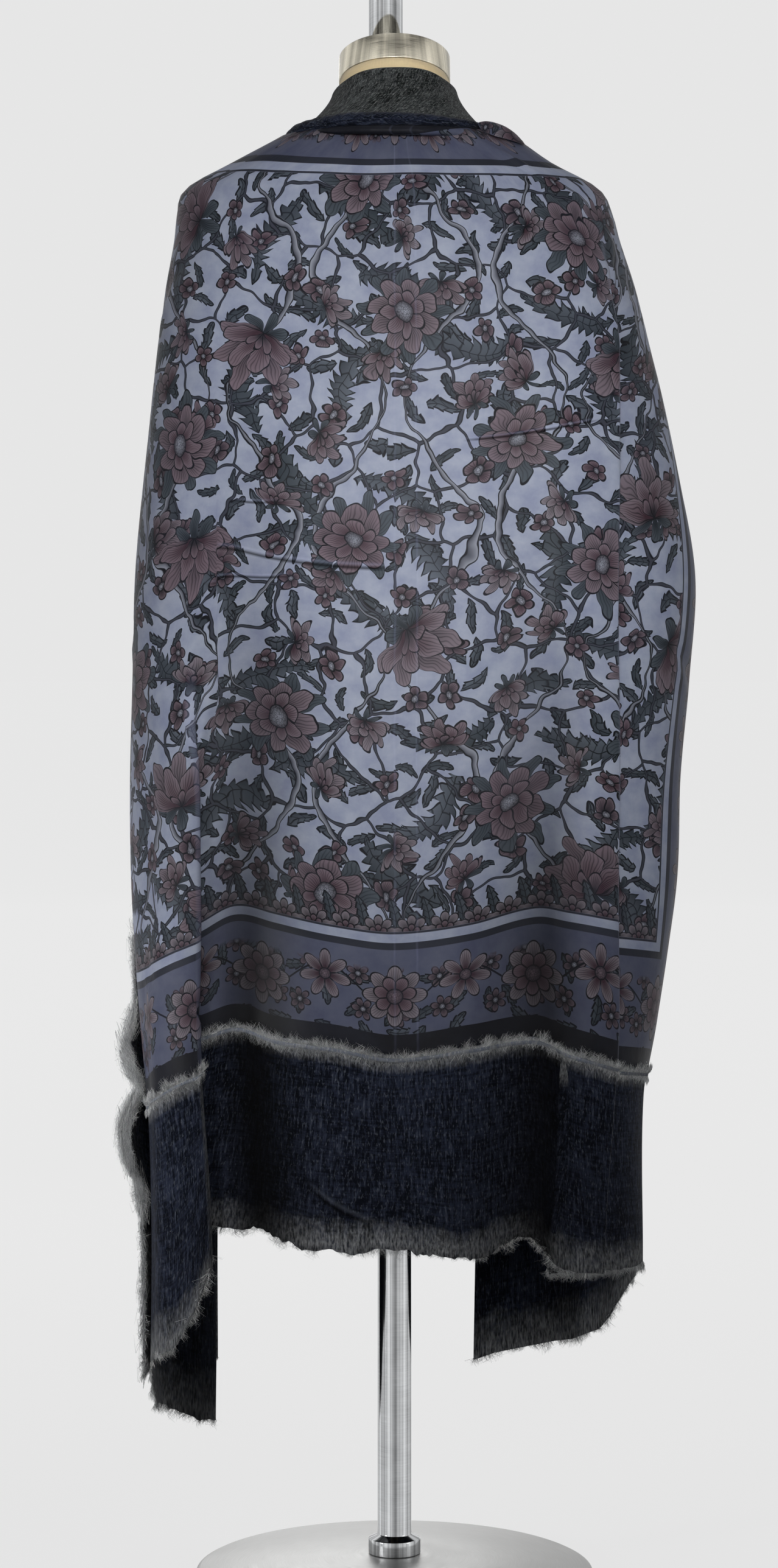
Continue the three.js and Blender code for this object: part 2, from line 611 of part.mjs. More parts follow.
// A point round the leaning neck. off: distance from the neck's surface.
function neckPoint(turnDegrees, off, z) {
  const turn = (turnDegrees * Math.PI) / 180;
  const lean = (z - CAP_FOOT - CAP_HEIGHT) * Math.tan(NECK_TILT);
  const deep = NECK_RADIUS / Math.cos(NECK_TILT) + off;
  return new THREE.Vector3((NECK_RADIUS + off) * Math.sin(turn), lean - deep * Math.cos(turn), z);
}

function collarGrid() {
  const [first, last, steps] = [COLLAR[0].turn, COLLAR[COLLAR.length - 1].turn, 24];
  const turns = Array.from({ length: steps + 1 }, (_, k) => first + ((last - first) * k) / steps);
  const inner = 2.2; // the inner layer's distance from the neck
  const width = 4.4; // from layer to layer at the fold
  const curve = 1.6; // how late the flare sets in, going down
  const outerShares = [0, 0.25, 0.5, 0.75, 0.94];
  const innerShares = [0.94, 0.62, 0.32];
  return turns.map((turn) => {
    const [top, foot, flare] = ["top", "foot", "flare"].map((name) => read(COLLAR, "turn", turn, name));
    const height = top - foot;
    const outer = outerShares.map((share) => {
      const off = inner + width + (flare - width - inner) * (1 - share) ** curve;
      return neckPoint(turn, off, foot + share * height);
    });
    const crown = neckPoint(turn, inner + width / 2, top);
    const back = innerShares.map((share) => neckPoint(turn, inner, foot + share * height));
    return [...outer, crown, ...back];
  });
}
const collarAround = collarGrid();
const collarRows = collarAround[0].map((_, k) => collarAround.map((row) => row[k])).reverse();
const collarWall = wall(collarRows, gridNormals(collarRows), WOOL / 2, -WOOL / 2);
add(shawl, "wool_collar", collarWall, COLOURS.collar, ROUGH_WOOL);

// A roll of cloth round the neck, an oval section carried along its table.
function roll(table) {
  const rings = [];
  const sides = 8;
  const steps = 20;
  const [first, last] = [table[0].turn, table[table.length - 1].turn];
  for (let s = 0; s <= steps; s++) {
    const turn = first + ((last - first) * s) / steps;
    const value = (name) => read(table, "turn", turn, name);
    const [off, z, high, deep] = [value("off"), value("z"), value("high"), value("deep")];
    const ring = [];
    for (let k = 0; k < sides; k++) {
      const angle = (2 * Math.PI * k) / sides;
      ring.push(neckPoint(turn, off + deep * Math.cos(angle), z - high * Math.sin(angle)));
    }
    rings.push(ring);
  }
  return loft(rings);
}
add(shawl, "wool_neck_roll", roll(ROLLS.wool_neck_roll), COLOURS.wool, ROUGH_WOOL);
add(shawl, "silk_hem_roll", roll(ROLLS.silk_hem_roll), COLOURS.silk, ROUGH_SILK);

// The height of the shoulder's cloth above a point of its right back quarter.
function shoulderHeight(x, y) {
  let [low, high] = [1420, 1500];
  for (let k = 0; k < 24; k++) {
    const z = (low + high) / 2;
    const value = (column) => read(SECTIONS, "z", z, column);
    const deep = Math.max(value("side") - y, 0) / (value("side") - value("back"));
    const inside = (x / value("right")) ** value("corner") + deep ** value("corner") < 1;
    if (inside) low = z;
    else high = z;
  }
  return low;
}

// The ridge on the right shoulder: oval sections across its line, shifted up from the cloth.
function shoulderFold() {
  const rings = [];
  const sides = 10;
  const steps = 14;
  const [first, last] = [SHOULDER_FOLD[0], SHOULDER_FOLD[SHOULDER_FOLD.length - 1]];
  const across = new THREE.Vector2(first.y - last.y, last.x - first.x).normalize();
  for (let s = 0; s <= steps; s++) {
    const x = first.x + ((last.x - first.x) * s) / steps;
    const [y, high, deep] = ["y", "high", "deep"].map((name) => read(SHOULDER_FOLD, "x", x, name));
    const ring = [];
    for (let k = 0; k < sides; k++) {
      const angle = (2 * Math.PI * k) / sides;
      const [px, py] = [x + across.x * deep * Math.cos(angle), y + across.y * deep * Math.cos(angle)];
      const pz = shoulderHeight(px, py) + SHOULDER_CLEARANCE + high * (1 + Math.sin(angle));
      ring.push(new THREE.Vector3(px, py, pz));
    }
    rings.push(ring);
  }
  return loft(rings);
}
add(shawl, "silk_shoulder_fold", shoulderFold(), COLOURS.silk, ROUGH_SILK);

// ---------- The dress form and its stand ----------

const stand = new THREE.Group();
stand.name = "dress_form_and_stand";
group.add(stand);

// Level sections of the torso. half: half-width, back and front: y, corner as in SECTIONS.
const FORM = [
  { z: 800, half: 158, back: -104, front: 100, corner: 2.3 },
  { z: 860, half: 165, back: -112, front: 106, corner: 2.3 },
  { z: 920, half: 163, back: -112, front: 106, corner: 2.3 },
  { z: 990, half: 146, back: -98, front: 96, corner: 2.3 },
  { z: 1060, half: 124, back: -84, front: 84, corner: 2.3 },
  { z: 1110, half: 122, back: -86, front: 84, corner: 2.3 },
  { z: 1170, half: 134, back: -98, front: 96, corner: 2.3 },
  { z: 1240, half: 152, back: -114, front: 116, corner: 2.3 },
  { z: 1300, half: 168, back: -122, front: 114, corner: 2.4 },
  { z: 1350, half: 188, back: -124, front: 102, corner: 2.4 },
  { z: 1385, half: 206, back: -120, front: 90, corner: 2.4 },
  { z: 1412, half: 212, back: -115, front: 79, corner: 2.4 },
  { z: 1432, half: 201, back: -110, front: 68, corner: 2.4 },
  { z: 1450, half: 160, back: -101, front: 51, corner: 2.3 },
  { z: 1464, half: 123, back: -95, front: 37, corner: 2.2 },
  { z: 1474, half: 88, back: -87, front: 28, corner: 2.1 },
];

const FORM_SIDES = 40;

function formRing(row) {
  const ring = [];
  const middle = (row.back + row.front) / 2;
  const deep = (row.front - row.back) / 2;
  for (let k = 0; k < FORM_SIDES; k++) {
    const turn = (2 * Math.PI * k) / FORM_SIDES;
    const shape = (v) => Math.sign(v) * Math.abs(v) ** (2 / row.corner);
    const x = row.half * shape(Math.cos(turn));
    ring.push(new THREE.Vector3(x, middle + deep * shape(Math.sin(turn)), row.z));
  }
  return ring;
}

// A circle round the neck's axis, leaning with it.
function neckRing(height, radius, count) {
  const lean = (height - CAP_FOOT - CAP_HEIGHT) * Math.tan(NECK_TILT);
  const ring = [];
  for (let k = 0; k < count; k++) {
    const turn = (2 * Math.PI * k) / count;
    const [across, deep] = [radius * Math.cos(turn), radius * Math.sin(turn)];
    const [y, drop] = [deep * Math.cos(NECK_TILT), deep * Math.sin(NECK_TILT)];
    ring.push(new THREE.Vector3(across, lean + y, height - drop));
  }
  return ring;
}

const [NECK_ROOT, NECK_START] = [1494, 1510]; // where the shoulders run into the neck
const formRings = [
  ...FORM.map(formRing),
  neckRing(NECK_ROOT, NECK_RADIUS + 1, FORM_SIDES),
  neckRing(NECK_START, NECK_RADIUS, FORM_SIDES),
  neckRing(CAP_FOOT - GAP, NECK_RADIUS, FORM_SIDES),
];
add(stand, "form_body", loft(formRings), COLOURS.linen, 0.85);

const CAP_SIDES = 64;
const CAP_RADIUS = NECK_RADIUS + 0.5;
const CAP_EDGE = 1.2; // the chamfer round its top
const CAP_TOP = CAP_FOOT + CAP_HEIGHT * Math.cos(NECK_TILT);
const capRings = [
  neckRing(CAP_FOOT, CAP_RADIUS, CAP_SIDES),
  neckRing(CAP_TOP - CAP_EDGE, CAP_RADIUS, CAP_SIDES),
  neckRing(CAP_TOP, CAP_RADIUS - CAP_EDGE, CAP_SIDES),
];
add(stand, "neck_cap", loft(capRings), COLOURS.steel, 0.3, 1);

const COLUMN_SIDES = 40;

// The column leaves the cap upright, so its foot is cut to the cap's leaning top.
function columnHead() {
  const circle = (radius, height) => {
    const ring = [];
    for (let k = 0; k < COLUMN_SIDES; k++) {
      const turn = (2 * Math.PI * k) / COLUMN_SIDES;
      const [x, y] = [COLUMN_X + radius * Math.cos(turn), radius * Math.sin(turn)];
      ring.push(new THREE.Vector3(x, y, typeof height === "function" ? height(y) : height));
    }
    return ring;
  };
  const lean = (CAP_TOP - CAP_FOOT - CAP_HEIGHT) * Math.tan(NECK_TILT);
  return loft([
    circle(COLUMN_RADIUS, (y) => CAP_TOP - (y - lean) * Math.tan(NECK_TILT) + GAP),
    circle(COLUMN_RADIUS, COLUMN_TOP - 6),
    circle(COLUMN_RADIUS - 2, COLUMN_TOP - 2),
    circle(COLUMN_RADIUS - 6, COLUMN_TOP),
  ]);
}
add(stand, "column_head", columnHead(), COLOURS.chrome, 0.08, 1);

const BASE_HEIGHT = 26;
const BASE_SIDES = 64;
const FLANGE_RADIUS = 60; // the plate that carries the torso
const SOCKET_RADIUS = 27; // the collar at the column's foot
// The lathe turns about Y, so each profile is stood up along Z afterwards.
function turned(profile, segments) {
  const points = profile.map(([radius, height]) => new THREE.Vector2(radius, height));
  return new THREE.LatheGeometry(points, segments).rotateX(Math.PI / 2);
}
add(
  stand,
  "base_plate",
  turned(
    [
      [0, 0],
      [BASE_RADIUS - 2, 0],
      [BASE_RADIUS, 2],
      [BASE_RADIUS, 8],
      [BASE_RADIUS - 3, 11],
      [80, BASE_HEIGHT - 5],
      [40, BASE_HEIGHT - 1],
      [34, BASE_HEIGHT],
      [0, BASE_HEIGHT],
    ],
    BASE_SIDES,
  ),
  COLOURS.steel,
  0.35,
  1,
);
add(
  stand,
  "column",
  turned(
    [
      [0, BASE_HEIGHT + GAP],
      [SOCKET_RADIUS, BASE_HEIGHT + GAP],
      [SOCKET_RADIUS, BASE_HEIGHT + 16],
      [COLUMN_RADIUS, BASE_HEIGHT + 20],
      [COLUMN_RADIUS, FORM_FOOT - 30],
      [26, FORM_FOOT - 14],
      [FLANGE_RADIUS, FORM_FOOT - 8],
      [FLANGE_RADIUS, FORM_FOOT - GAP],
      [0, FORM_FOOT - GAP],
    ],
    COLUMN_SIDES,
  ),
  COLOURS.chrome,
  0.08,
  1,
);

export default group;
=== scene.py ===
"""Foulard shawl on a dress form: printed silk laid on raw-edged wool, draped as a cape."""

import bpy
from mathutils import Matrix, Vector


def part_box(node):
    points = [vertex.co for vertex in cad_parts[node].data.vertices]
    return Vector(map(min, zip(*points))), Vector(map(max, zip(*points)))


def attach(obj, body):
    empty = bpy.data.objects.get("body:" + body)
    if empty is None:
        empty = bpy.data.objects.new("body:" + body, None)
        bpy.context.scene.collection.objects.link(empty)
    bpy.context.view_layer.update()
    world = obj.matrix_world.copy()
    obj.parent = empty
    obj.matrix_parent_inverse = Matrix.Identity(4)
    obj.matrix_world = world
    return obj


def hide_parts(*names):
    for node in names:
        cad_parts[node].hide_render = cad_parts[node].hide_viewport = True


bl_info = {
    "name": "Foulard shawl on a dress form",
    "version": (1, 0, 0),
    "blender": (4, 5, 0),
    "location": "View3D > Sidebar > Shawl",
    "description": "Builds a draped silk and wool shawl, the dress form under it and a plain studio",
    "category": "Object",
}

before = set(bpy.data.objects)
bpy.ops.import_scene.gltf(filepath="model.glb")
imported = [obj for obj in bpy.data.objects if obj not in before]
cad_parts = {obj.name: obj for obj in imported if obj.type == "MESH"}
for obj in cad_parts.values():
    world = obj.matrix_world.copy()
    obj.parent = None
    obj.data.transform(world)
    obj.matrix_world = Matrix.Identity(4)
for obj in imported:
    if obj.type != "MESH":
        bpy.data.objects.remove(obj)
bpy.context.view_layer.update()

import math

import bmesh
import bpy
import numpy as np
from mathutils import Matrix, Vector

MM = 0.001

# ---------- Tables of the drape, in millimetres ----------


class Table:
    """Rows of numbers with named columns, read smoothly at a value of the first column."""

    def __init__(self, columns, *rows):
        ordered = sorted(rows, key=lambda row: row[0])
        self.columns = columns.split()
        self.values = np.array(ordered, float).T

    def read(self, at, column):
        return smooth_read(self.values[0], self.values[self.columns.index(column)], at)


def smooth_read(xs, ys, at):
    """Read ys at a value between xs, through every one. Each of ys may be an array like at."""
    xs, ys = np.asarray(xs, float), np.asarray(ys, float)
    at = np.clip(np.asarray(at, float), xs[0], xs[-1])
    k = np.clip(np.searchsorted(xs, at, side="right") - 1, 0, len(xs) - 2)

    def pick(i):
        return ys[i] if ys.ndim == 1 else np.take_along_axis(ys, i[None, ...], axis=0)[0]

    low, high = np.maximum(k - 1, 0), np.minimum(k + 2, len(xs) - 1)
    slope_a = (pick(k + 1) - pick(low)) / (xs[k + 1] - xs[low])
    slope_b = (pick(high) - pick(k)) / (xs[high] - xs[k])
    span = xs[k + 1] - xs[k]
    t = (at - xs[k]) / span
    t2, t3 = t * t, t * t * t
    return (
        (2 * t3 - 3 * t2 + 1) * pick(k)
        + (t3 - 2 * t2 + t) * span * slope_a
        + (3 * t2 - 2 * t3) * pick(k + 1)
        + (t3 - t2) * span * slope_b
    )


def ease(value, start, end):
    t = np.clip((np.asarray(value, float) - start) / (end - start), 0, 1)
    return t * t * (3 - 2 * t)


WOOL, SILK, GAP = 1.6, 1.0, 0.3
SILK_HALF = 508
COLUMN_RADIUS = 17.5
CAMERA_X, FRAME_TALL, FRAME_MIDDLE = -0.0057, 1.6229, 0.8213
NECK_RADIUS, NECK_TILT = 57, math.radians(17)
CAP_HEIGHT, CAP_FOOT, COLUMN_X = 28, 1544.5, -9
TOP_LINE, FIELD_TOP, SILK_FOOT, HEM_LINE = 1482, 1433, 552, 365

SECTIONS = Table(
    "z back side front left right edge_left edge_right corner",
    (1500, -90, -20, 28, 92, 96, 60, 60, 2.2),
    (1482, -99, -16, 40, 122, 127, 60, 60, 2.3),
    (1456, -109, -12, 60, 171, 165, 61, 61, 2.4),
    (1431, -118, -8, 82, 216, 211, 62, 63, 2.5),
    (1406, -125, -6, 98, 224, 224, 62, 66, 2.6),
    (1381, -130, -4, 110, 227, 231, 62, 69, 2.6),
    (1330, -137, -2, 122, 236, 247, 63, 76, 2.6),
    (1230, -145, 0, 134, 248, 272, 64, 90, 2.7),
    (1130, -149, 2, 138, 258, 293, 65, 102, 2.7),
    (1030, -151, 4, 140, 267, 309, 66, 110, 2.7),
    (930, -151, 6, 140, 270, 303, 67, 112, 2.7),
    (830, -150, 8, 140, 272, 294, 68, 108, 2.7),
    (730, -149, 8, 141, 271, 292, 69, 102, 2.7),
    (650, -149, 8, 142, 267, 282, 70, 98, 2.7),
    (575, -149, 8, 143, 262, 270, 71, 95, 2.7),
    (500, -149, 8, 144, 256, 257, 72, 92, 2.7),
    (350, -149, 8, 146, 252, 256, 74, 88, 2.7),
    (120, -149, 8, 148, 252, 256, 76, 84, 2.7),
)

# How far the cloth's level lines are lifted across the back and the sides, at five of the lines.
LIFT_LEVELS = {"hem": HEM_LINE, "foot": SILK_FOOT, "stripe": 671, "chest": 1250, "neck": 1474}
LIFT = {
    "back": Table(
        "across neck chest stripe foot hem",
        (-1.0, 12, 2, 9, 18, 18),
        (-0.84, 10, 2, 26, 27, 12),
        (-0.62, 6, 0, 19, 16, 4),
        (-0.3, 1, 0, 7, 10, -3),
        (0.0, 0, 0, 0, 0, 0),
        (0.34, 0, 0, 9, 9, -12),
        (0.64, 2, 0, 25, 16, 6),
        (0.8, 3, 0, 20, 2, -18),
        (1.0, 4, 0, 11, -13, -28),
    ),
    "left": Table(
        "across neck chest stripe foot hem",
        (1.0, 12, 2, -12, -20, -35),
        (1.05, 12, 1.5, -20, -27, -72),
        (1.15, 11, 1, -34, -44, -110),
        (1.3, 8, 0, -46, -58, -119),
        (1.6, -4, -4, -52, -68, -182),
        (2.0, -22, -8, -56, -78, -225),
    ),
    "right": Table(
        "across neck chest stripe foot hem",
        (1.0, 4, 0, -6, -16, -28),
        (1.35, 2, 0, -22, -32, -43),
        (1.6, -6, -2, -28, -40, -118),
        (2.0, -24, -6, -40, -58, -165),
    ),
}

# The two folds that bound the back: the edge's x over most of its height and at the hem, the heights
# over which the layers part, and how much the hidden depth grows between two heights.
FOLDS = {
    "left": {"x": 196, "low": 183, "soften": (960, 880), "tucks": ((880, 420, 32),)},
    "right": {"x": 217, "low": 203, "soften": (1400, 1330), "tucks": ((1345, 1190, 26), (1100, 700, 16))},
}
# DRIFT: the heights between which the edges move in to where they lie at the hem. FOLD_SHARE: the furthest
# round the half section that an edge lies. FLAT_STEP: the columns' spacing where the folds lie flat.
DRIFT = (620, 320)
FOLD_SHARE, FLAT_STEP, LAYER, BULGE, LEAST_DEPTH, LEAD = 0.93, 7, 5.7, 2.3, 4, 20

# How far the cloth's top is drawn down under the roll on the left.
DRAWN_DOWN, DRAWN_FROM = 10, 1460

# Troughs that run down the cloth, and the depth of the deepest.
SWELLS = (
    # hand, across, depth inward, reach before, reach after, starts at, is full at
    (-1, 0.75, 26, 82, 58, 1230, 560),
    (1, 0.72, 24, 86, 40, 1100, 560),
    (-1, 1.62, 16, 60, 60, 1300, 700),
    (1, 1.55, 18, 70, 75, 1300, 700),
    (1, 1.82, -8, 50, 50, 1250, 800),
)
DEEPEST = 26

# The left front edge: where it folds and where its raw edge ends, from the front, and how far that
# stands out. RUFFLE: the heights between which it is fluffy.
TURN_BACK = Table(
    "z fold raw proud",
    (1150, 0, 14, 0),
    (1000, 30, 46, 0),
    (850, 62, 84, 0),
    (700, 92, 124, 0),
    (620, 106, 136, 0),
    (575, 113, 142, 2),
    (550, 116, 152, 8),
    (530, 119, 158, 9),
    (508, 121, 142, 3),
    (480, 124, 152, 14),
    (445, 126, 152, 15),
    (410, 127, 140, 8),
    (380, 127, 131, 3),
    (310, 127, 129, 1),
    (208, 125, 129, 1),
)
RUFFLE = (585, 385)

# Pieces round the leaning neck, by degrees from the centre back.
COLLAR = Table(
    "turn top foot flare",
    (-150, 1518, 1480, 12),
    (-120, 1528, 1489, 20),
    (-90, 1531, 1500, 27),
    (-60, 1538, 1501, 24),
    (-30, 1547, 1499, 15),
    (0, 1549, 1498, 11),
    (30, 1548, 1497, 17),
    (60, 1540, 1496, 28),
    (90, 1535, 1496, 31),
    (120, 1530, 1489, 22),
    (150, 1520, 1480, 12),
)

NECK_ROLL = Table(
    "turn off z high deep",
    (-112, 32, 1472, 4, 5),
    (-85, 44, 1484, 9, 11),
    (-55, 31, 1489.5, 9.5, 10),
    (0, 17, 1491.5, 7.8, 8.5),
    (40, 23, 1491, 6, 8),
    (70, 32, 1492.5, 4, 6),
    (92, 36, 1493.5, 2, 4),
)
HEM_ROLL = Table(
    "turn off z high deep",
    (-58, 38, 1483.6, 2.2, 3.8),
    (-40, 31, 1481.2, 4.2, 6),
    (0, 22, 1479.6, 5.2, 7),
    (40, 27, 1480.7, 5.4, 7),
    (66, 36, 1482.5, 4.6, 5.5),
)

# The bunch of silk on the right shoulder.
SHOULDER_FOLD = Table(
    "x y high deep",
    (86, -80, 1.5, 4),
    (98, -75, 3.2, 8),
    (114, -66, 3.8, 9),
    (124, -59, 2.8, 8),
    (130, -54, 1.2, 5),
)

FORM = Table(
    "z half back front corner",
    (800, 158, -104, 100, 2.3),
    (860, 165, -112, 106, 2.3),
    (920, 163, -112, 106, 2.3),
    (990, 146, -98, 96, 2.3),
    (1060, 124, -84, 84, 2.3),
    (1110, 122, -86, 84, 2.3),
    (1170, 134, -98, 96, 2.3),
    (1240, 152, -114, 116, 2.3),
    (1300, 168, -122, 114, 2.4),
    (1350, 188, -124, 102, 2.4),
    (1385, 206, -120, 90, 2.4),
    (1412, 212, -115, 79, 2.4),
    (1432, 201, -110, 68, 2.4),
    (1450, 160, -101, 51, 2.3),
    (1464, 123, -95, 37, 2.2),
    (1474, 88, -87, 28, 2.1),
)

# Creases pressed into the cloth, as lines on it: across from the centre back, and the height of the line.
CREASES = (
    # across, line, to across, line, depth inward, half width
    (-192, 1062, 6, 1049, 2.6, 10),
    (-200, 1030, -96, 1032, 1.0, 7),
    (-168, 1106, -118, 1107, 0.9, 7),
    (60, 1178, 205, 1199, 1.0, 9),
    (-14, 842, 128, 866, 0.8, 9),
    (-78, 421, -12, 386, 3.0, 8),
    (-12, 386, -24, 366, 2.2, 7),
    (-104, 409, -88, 402, 2.0, 6),
    (176, 552, 164, 368, -5.5, 9),
    (158, 556, 147, 372, 3.5, 10),
    (262, 612, 330, 556, 2.6, 8),
    (254, 566, 318, 600, 1.8, 7),
    (300, 676, 320, 652, 2.2, 6),
    (-300, 640, -230, 575, 2.4, 9),
    (-352, 700, -300, 640, 1.8, 8),
    (-420, 960, -330, 1000, 2.2, 12),
    (330, 980, 430, 940, 2.2, 12),
    (-300, 1300, -210, 1352, 2.0, 12),
    (215, 1362, 320, 1290, 2.2, 12),
    (-90, 1398, -150, 1425, 1.6, 10),
    (96, 1404, 160, 1432, 1.6, 10),
    (140, 1472, 180, 1446, -6, 9),
)

# The sharpest creases, on the flat cloth up from the silk's foot, which the finishes paint: painted shade in
# them and painted highlight on their lips.
SILK_CREASES = (
    # across, up, to across, up, half width
    (-190, 502, -2, 486, 1.3),
    (-196, 470, -100, 474, 0.9),
    (-168, 548, -116, 549, 0.9),
    (64, 612, 200, 634, 0.8),
)
# The same for the wool, on its flat cloth below the silk's foot.
WOOL_CREASES = (
    (-78, -131, -12, -166, 1.5),
    (-12, -166, -24, -184, 1.2),
    (-104, -143, -88, -150, 0.8),
)

# ---------- The drape ----------


class Walks:
    """The level sections of one half of the cloth, walked from the centre back round to the front."""

    STEP = 2.0

    def __init__(self, hand):
        side = "left" if hand < 0 else "right"
        self.levels = np.arange(120, 1501, self.STEP)
        self.reach = np.arange(0, 900, self.STEP)
        xs, ys, folds, lengths = [], [], [], []
        turn = np.linspace(0, math.pi, 361)
        for z in self.levels:
            value = {name: float(SECTIONS.read(z, name)) for name in SECTIONS.columns[1:]}
            half, power = value[side], 2 / value["corner"]
            x = half * np.abs(np.sin(turn)) ** power
            depth = np.where(turn < math.pi / 2, value["back"], value["front"]) - value["side"]
            y = value["side"] + depth * np.abs(np.cos(turn)) ** power
            arc = np.concatenate(([0], np.cumsum(np.hypot(np.diff(x), np.diff(y)))))
            back = turn <= math.pi / 2
            edge = FOLDS[side]["x"] + (FOLDS[side]["low"] - FOLDS[side]["x"]) * ease(z, *DRIFT)
            folds.append(np.interp(min(edge, FOLD_SHARE * half), x[back], arc[back]))
            lengths.append(np.interp(-value["edge_" + side], -x[~back], arc[~back]))
            xs.append(np.interp(self.reach, arc, x))
            ys.append(np.interp(self.reach, arc, y))
        self.hand = hand
        self.x, self.y = np.array(xs), np.array(ys)
        self.tx = np.gradient(self.x, axis=1)
        self.ty = np.gradient(self.y, axis=1)
        self.folds, self.lengths = np.array(folds), np.array(lengths)

    def fold(self, z):
        return np.interp(z, self.levels, self.folds)

    def length(self, z):
        return np.interp(z, self.levels, self.lengths)

    def at(self, arc, out, z):
        i = np.clip((z - self.levels[0]) / self.STEP, 0, len(self.levels) - 1.001)
        j = np.clip(arc / self.STEP, 0, len(self.reach) - 1.001)
        i0, j0 = i.astype(int), j.astype(int)
        u, v = i - i0, j - j0

        def mix(grid):
            low = grid[i0, j0] * (1 - v) + grid[i0, j0 + 1] * v
            high = grid[i0 + 1, j0] * (1 - v) + grid[i0 + 1, j0 + 1] * v
            return low * (1 - u) + high * u

        tx, ty = mix(self.tx), mix(self.ty)
        size = np.maximum(np.hypot(tx, ty), 1e-9)
        return self.hand * (mix(self.x) + ty / size * out), mix(self.y) - tx / size * out


WALKS = {}


def walks(hand):
    if hand not in WALKS:
        WALKS[hand] = Walks(hand)
    return WALKS[hand]


def swell(hand, arc, z):
    walk = walks(hand)
    fold, length = walk.fold(z), walk.length(z)
    out = np.zeros_like(arc)
    for side, across, depth, before, after, start, full in SWELLS:
        if side != hand:
            continue
        centre = across * fold if across < 1 else fold + (across - 1) * (length - fold)
        off = (arc - centre) / np.where(arc < centre, before, after)
        out -= depth * ease(z, start, full) * np.exp(-2.2 * off * off)
    return out


def lift_at(part, across, line):
    table = LIFT[part]
    levels = [table.read(across, name) for name in LIFT_LEVELS]
    return smooth_read(list(LIFT_LEVELS.values()), np.array(levels), line)


def fold_path(inner, outer, outs):
    """The S of a fold in section: how far past its edge, bulge, layer out and share of the way through."""
    path = []
    legs = ((inner, outer, 0, 0), (outer, inner, 0.3, 0.7), (inner, outer, 1, 1))
    for number, (start, end, mix, last_mix) in enumerate(legs):
        for k in range(6):
            past = start + (end - start) * k / 5
            path.append((past, 0, outs[number], mix + (last_mix - mix) * k / 5))
        if number == 2:
            break
        for k in range(1, 8):
            turn = math.pi * k / 8
            out = outs[number] + (outs[number + 1] - outs[number]) * (1 - math.cos(turn)) / 2
            path.append((end, (1, -1)[number] * BULGE * math.sin(turn), out, last_mix + 0.3 * k / 8))
    return path


def half_places(hand):
    """Columns of one half of the cloth, from beside the centre back to the front edge."""
    places = [{"kind": "back", "share": s} for s in np.linspace(0, 1, 47)[1:]]
    path = list(fold_path(0, 1, (0, 1, 2)) if hand < 0 else fold_path(-1, 0, (2, 1, 0)))
    keys = ("past", "bulge", "out", "mix")
    first = dict(zip(keys, path[0]), kind="fold", flat=-4)
    places += [{**first, "lead": lead} for lead in (15, 10, 5)]
    for step, flat in zip(path, -4 + 7 * np.arange(len(path)) / (len(path) - 1)):
        places.append(dict(zip(keys, step), kind="fold", flat=flat, lead=0))
    places += [{"kind": "side", "share": s} for s in np.linspace(0, 1, 43)[1:]]
    places += [{"kind": "margin", "share": s} for s in np.linspace(0, 1, 9)[1:]]
    return places


def along(place, hand, z):
    """A place's distance along the walk at a height, the walk's end, and how far out it lies."""
    side = "left" if hand < 0 else "right"
    start_soft, end_soft = FOLDS[side]["soften"]
    parted = ease(z, start_soft, end_soft)
    soft = ease(z, (start_soft + end_soft) / 2, 2 * end_soft - start_soft)
    depth = LEAST_DEPTH + sum(grows * ease(z, top, low) for top, low, grows in FOLDS[side]["tucks"])
    walk = walks(hand)
    fold = walk.fold(z)
    end = walk.length(z) - (TURN_BACK.read(z, "fold") if hand < 0 else 0)

    def folded(past, bulge, flat):
        return fold + flat * FLAT_STEP * (1 - soft) + (past * depth + bulge) * soft

    if place["kind"] == "fold":
        arc = folded(place["past"], place["bulge"], place["flat"]) - place["lead"]
        return arc, end, place["out"] * LAYER * parted
    if place["kind"] == "back":
        last = folded(0 if hand < 0 else -1, 0, -4) - LEAD
        arc = place["share"] * last
        layers = 0 if hand < 0 else 2 * ease(arc, last - 60, last - 4)
        return arc, end, layers * LAYER * parted
    start = folded(1 if hand < 0 else 0, 0, 3)
    silk_end = np.clip(SILK_HALF - 2 * depth * soft, start + 40, end - 24)
    share = place["share"]
    if place["kind"] == "side":
        arc = start + share * (silk_end - start)
    else:
        arc = silk_end + share * (end - silk_end)
    layers = 2 * (1 - ease(arc - start, 12, 60)) if hand < 0 else 0
    return arc, end, layers * LAYER * parted


def cloth_column(place, hand, lines):
    """The points of the wool's outer face down one column, and how deep in a trough each lies."""
    side = "left" if hand < 0 else "right"
    arc, end, _ = along(place, hand, lines)
    fold = walks(hand).fold(lines)
    mix = {"back": 0, "fold": place.get("mix")}.get(place["kind"], 1)
    on_back = np.minimum(arc / fold, 1) if mix == 0 else np.ones_like(lines)
    on_side = 1 + np.maximum(arc - fold, 0) / (end - fold) if mix == 1 else np.ones_like(lines)
    back_lift = lift_at("back", hand * on_back, lines)
    z = lines + back_lift + (lift_at(side, on_side, lines) - back_lift) * mix
    if hand < 0:
        z = z - DRAWN_DOWN * ease(lines, DRAWN_FROM, TOP_LINE) * ease(on_back + on_side - 1, 0.5, 0.9)
    arc, _, out = along(place, hand, z)
    swelling = swell(hand, arc, z)
    x, y = walks(hand).at(arc, out + swelling, z)
    return np.stack([x, y, z, np.clip(-swelling / DEEPEST, 0, 1)], axis=-1)


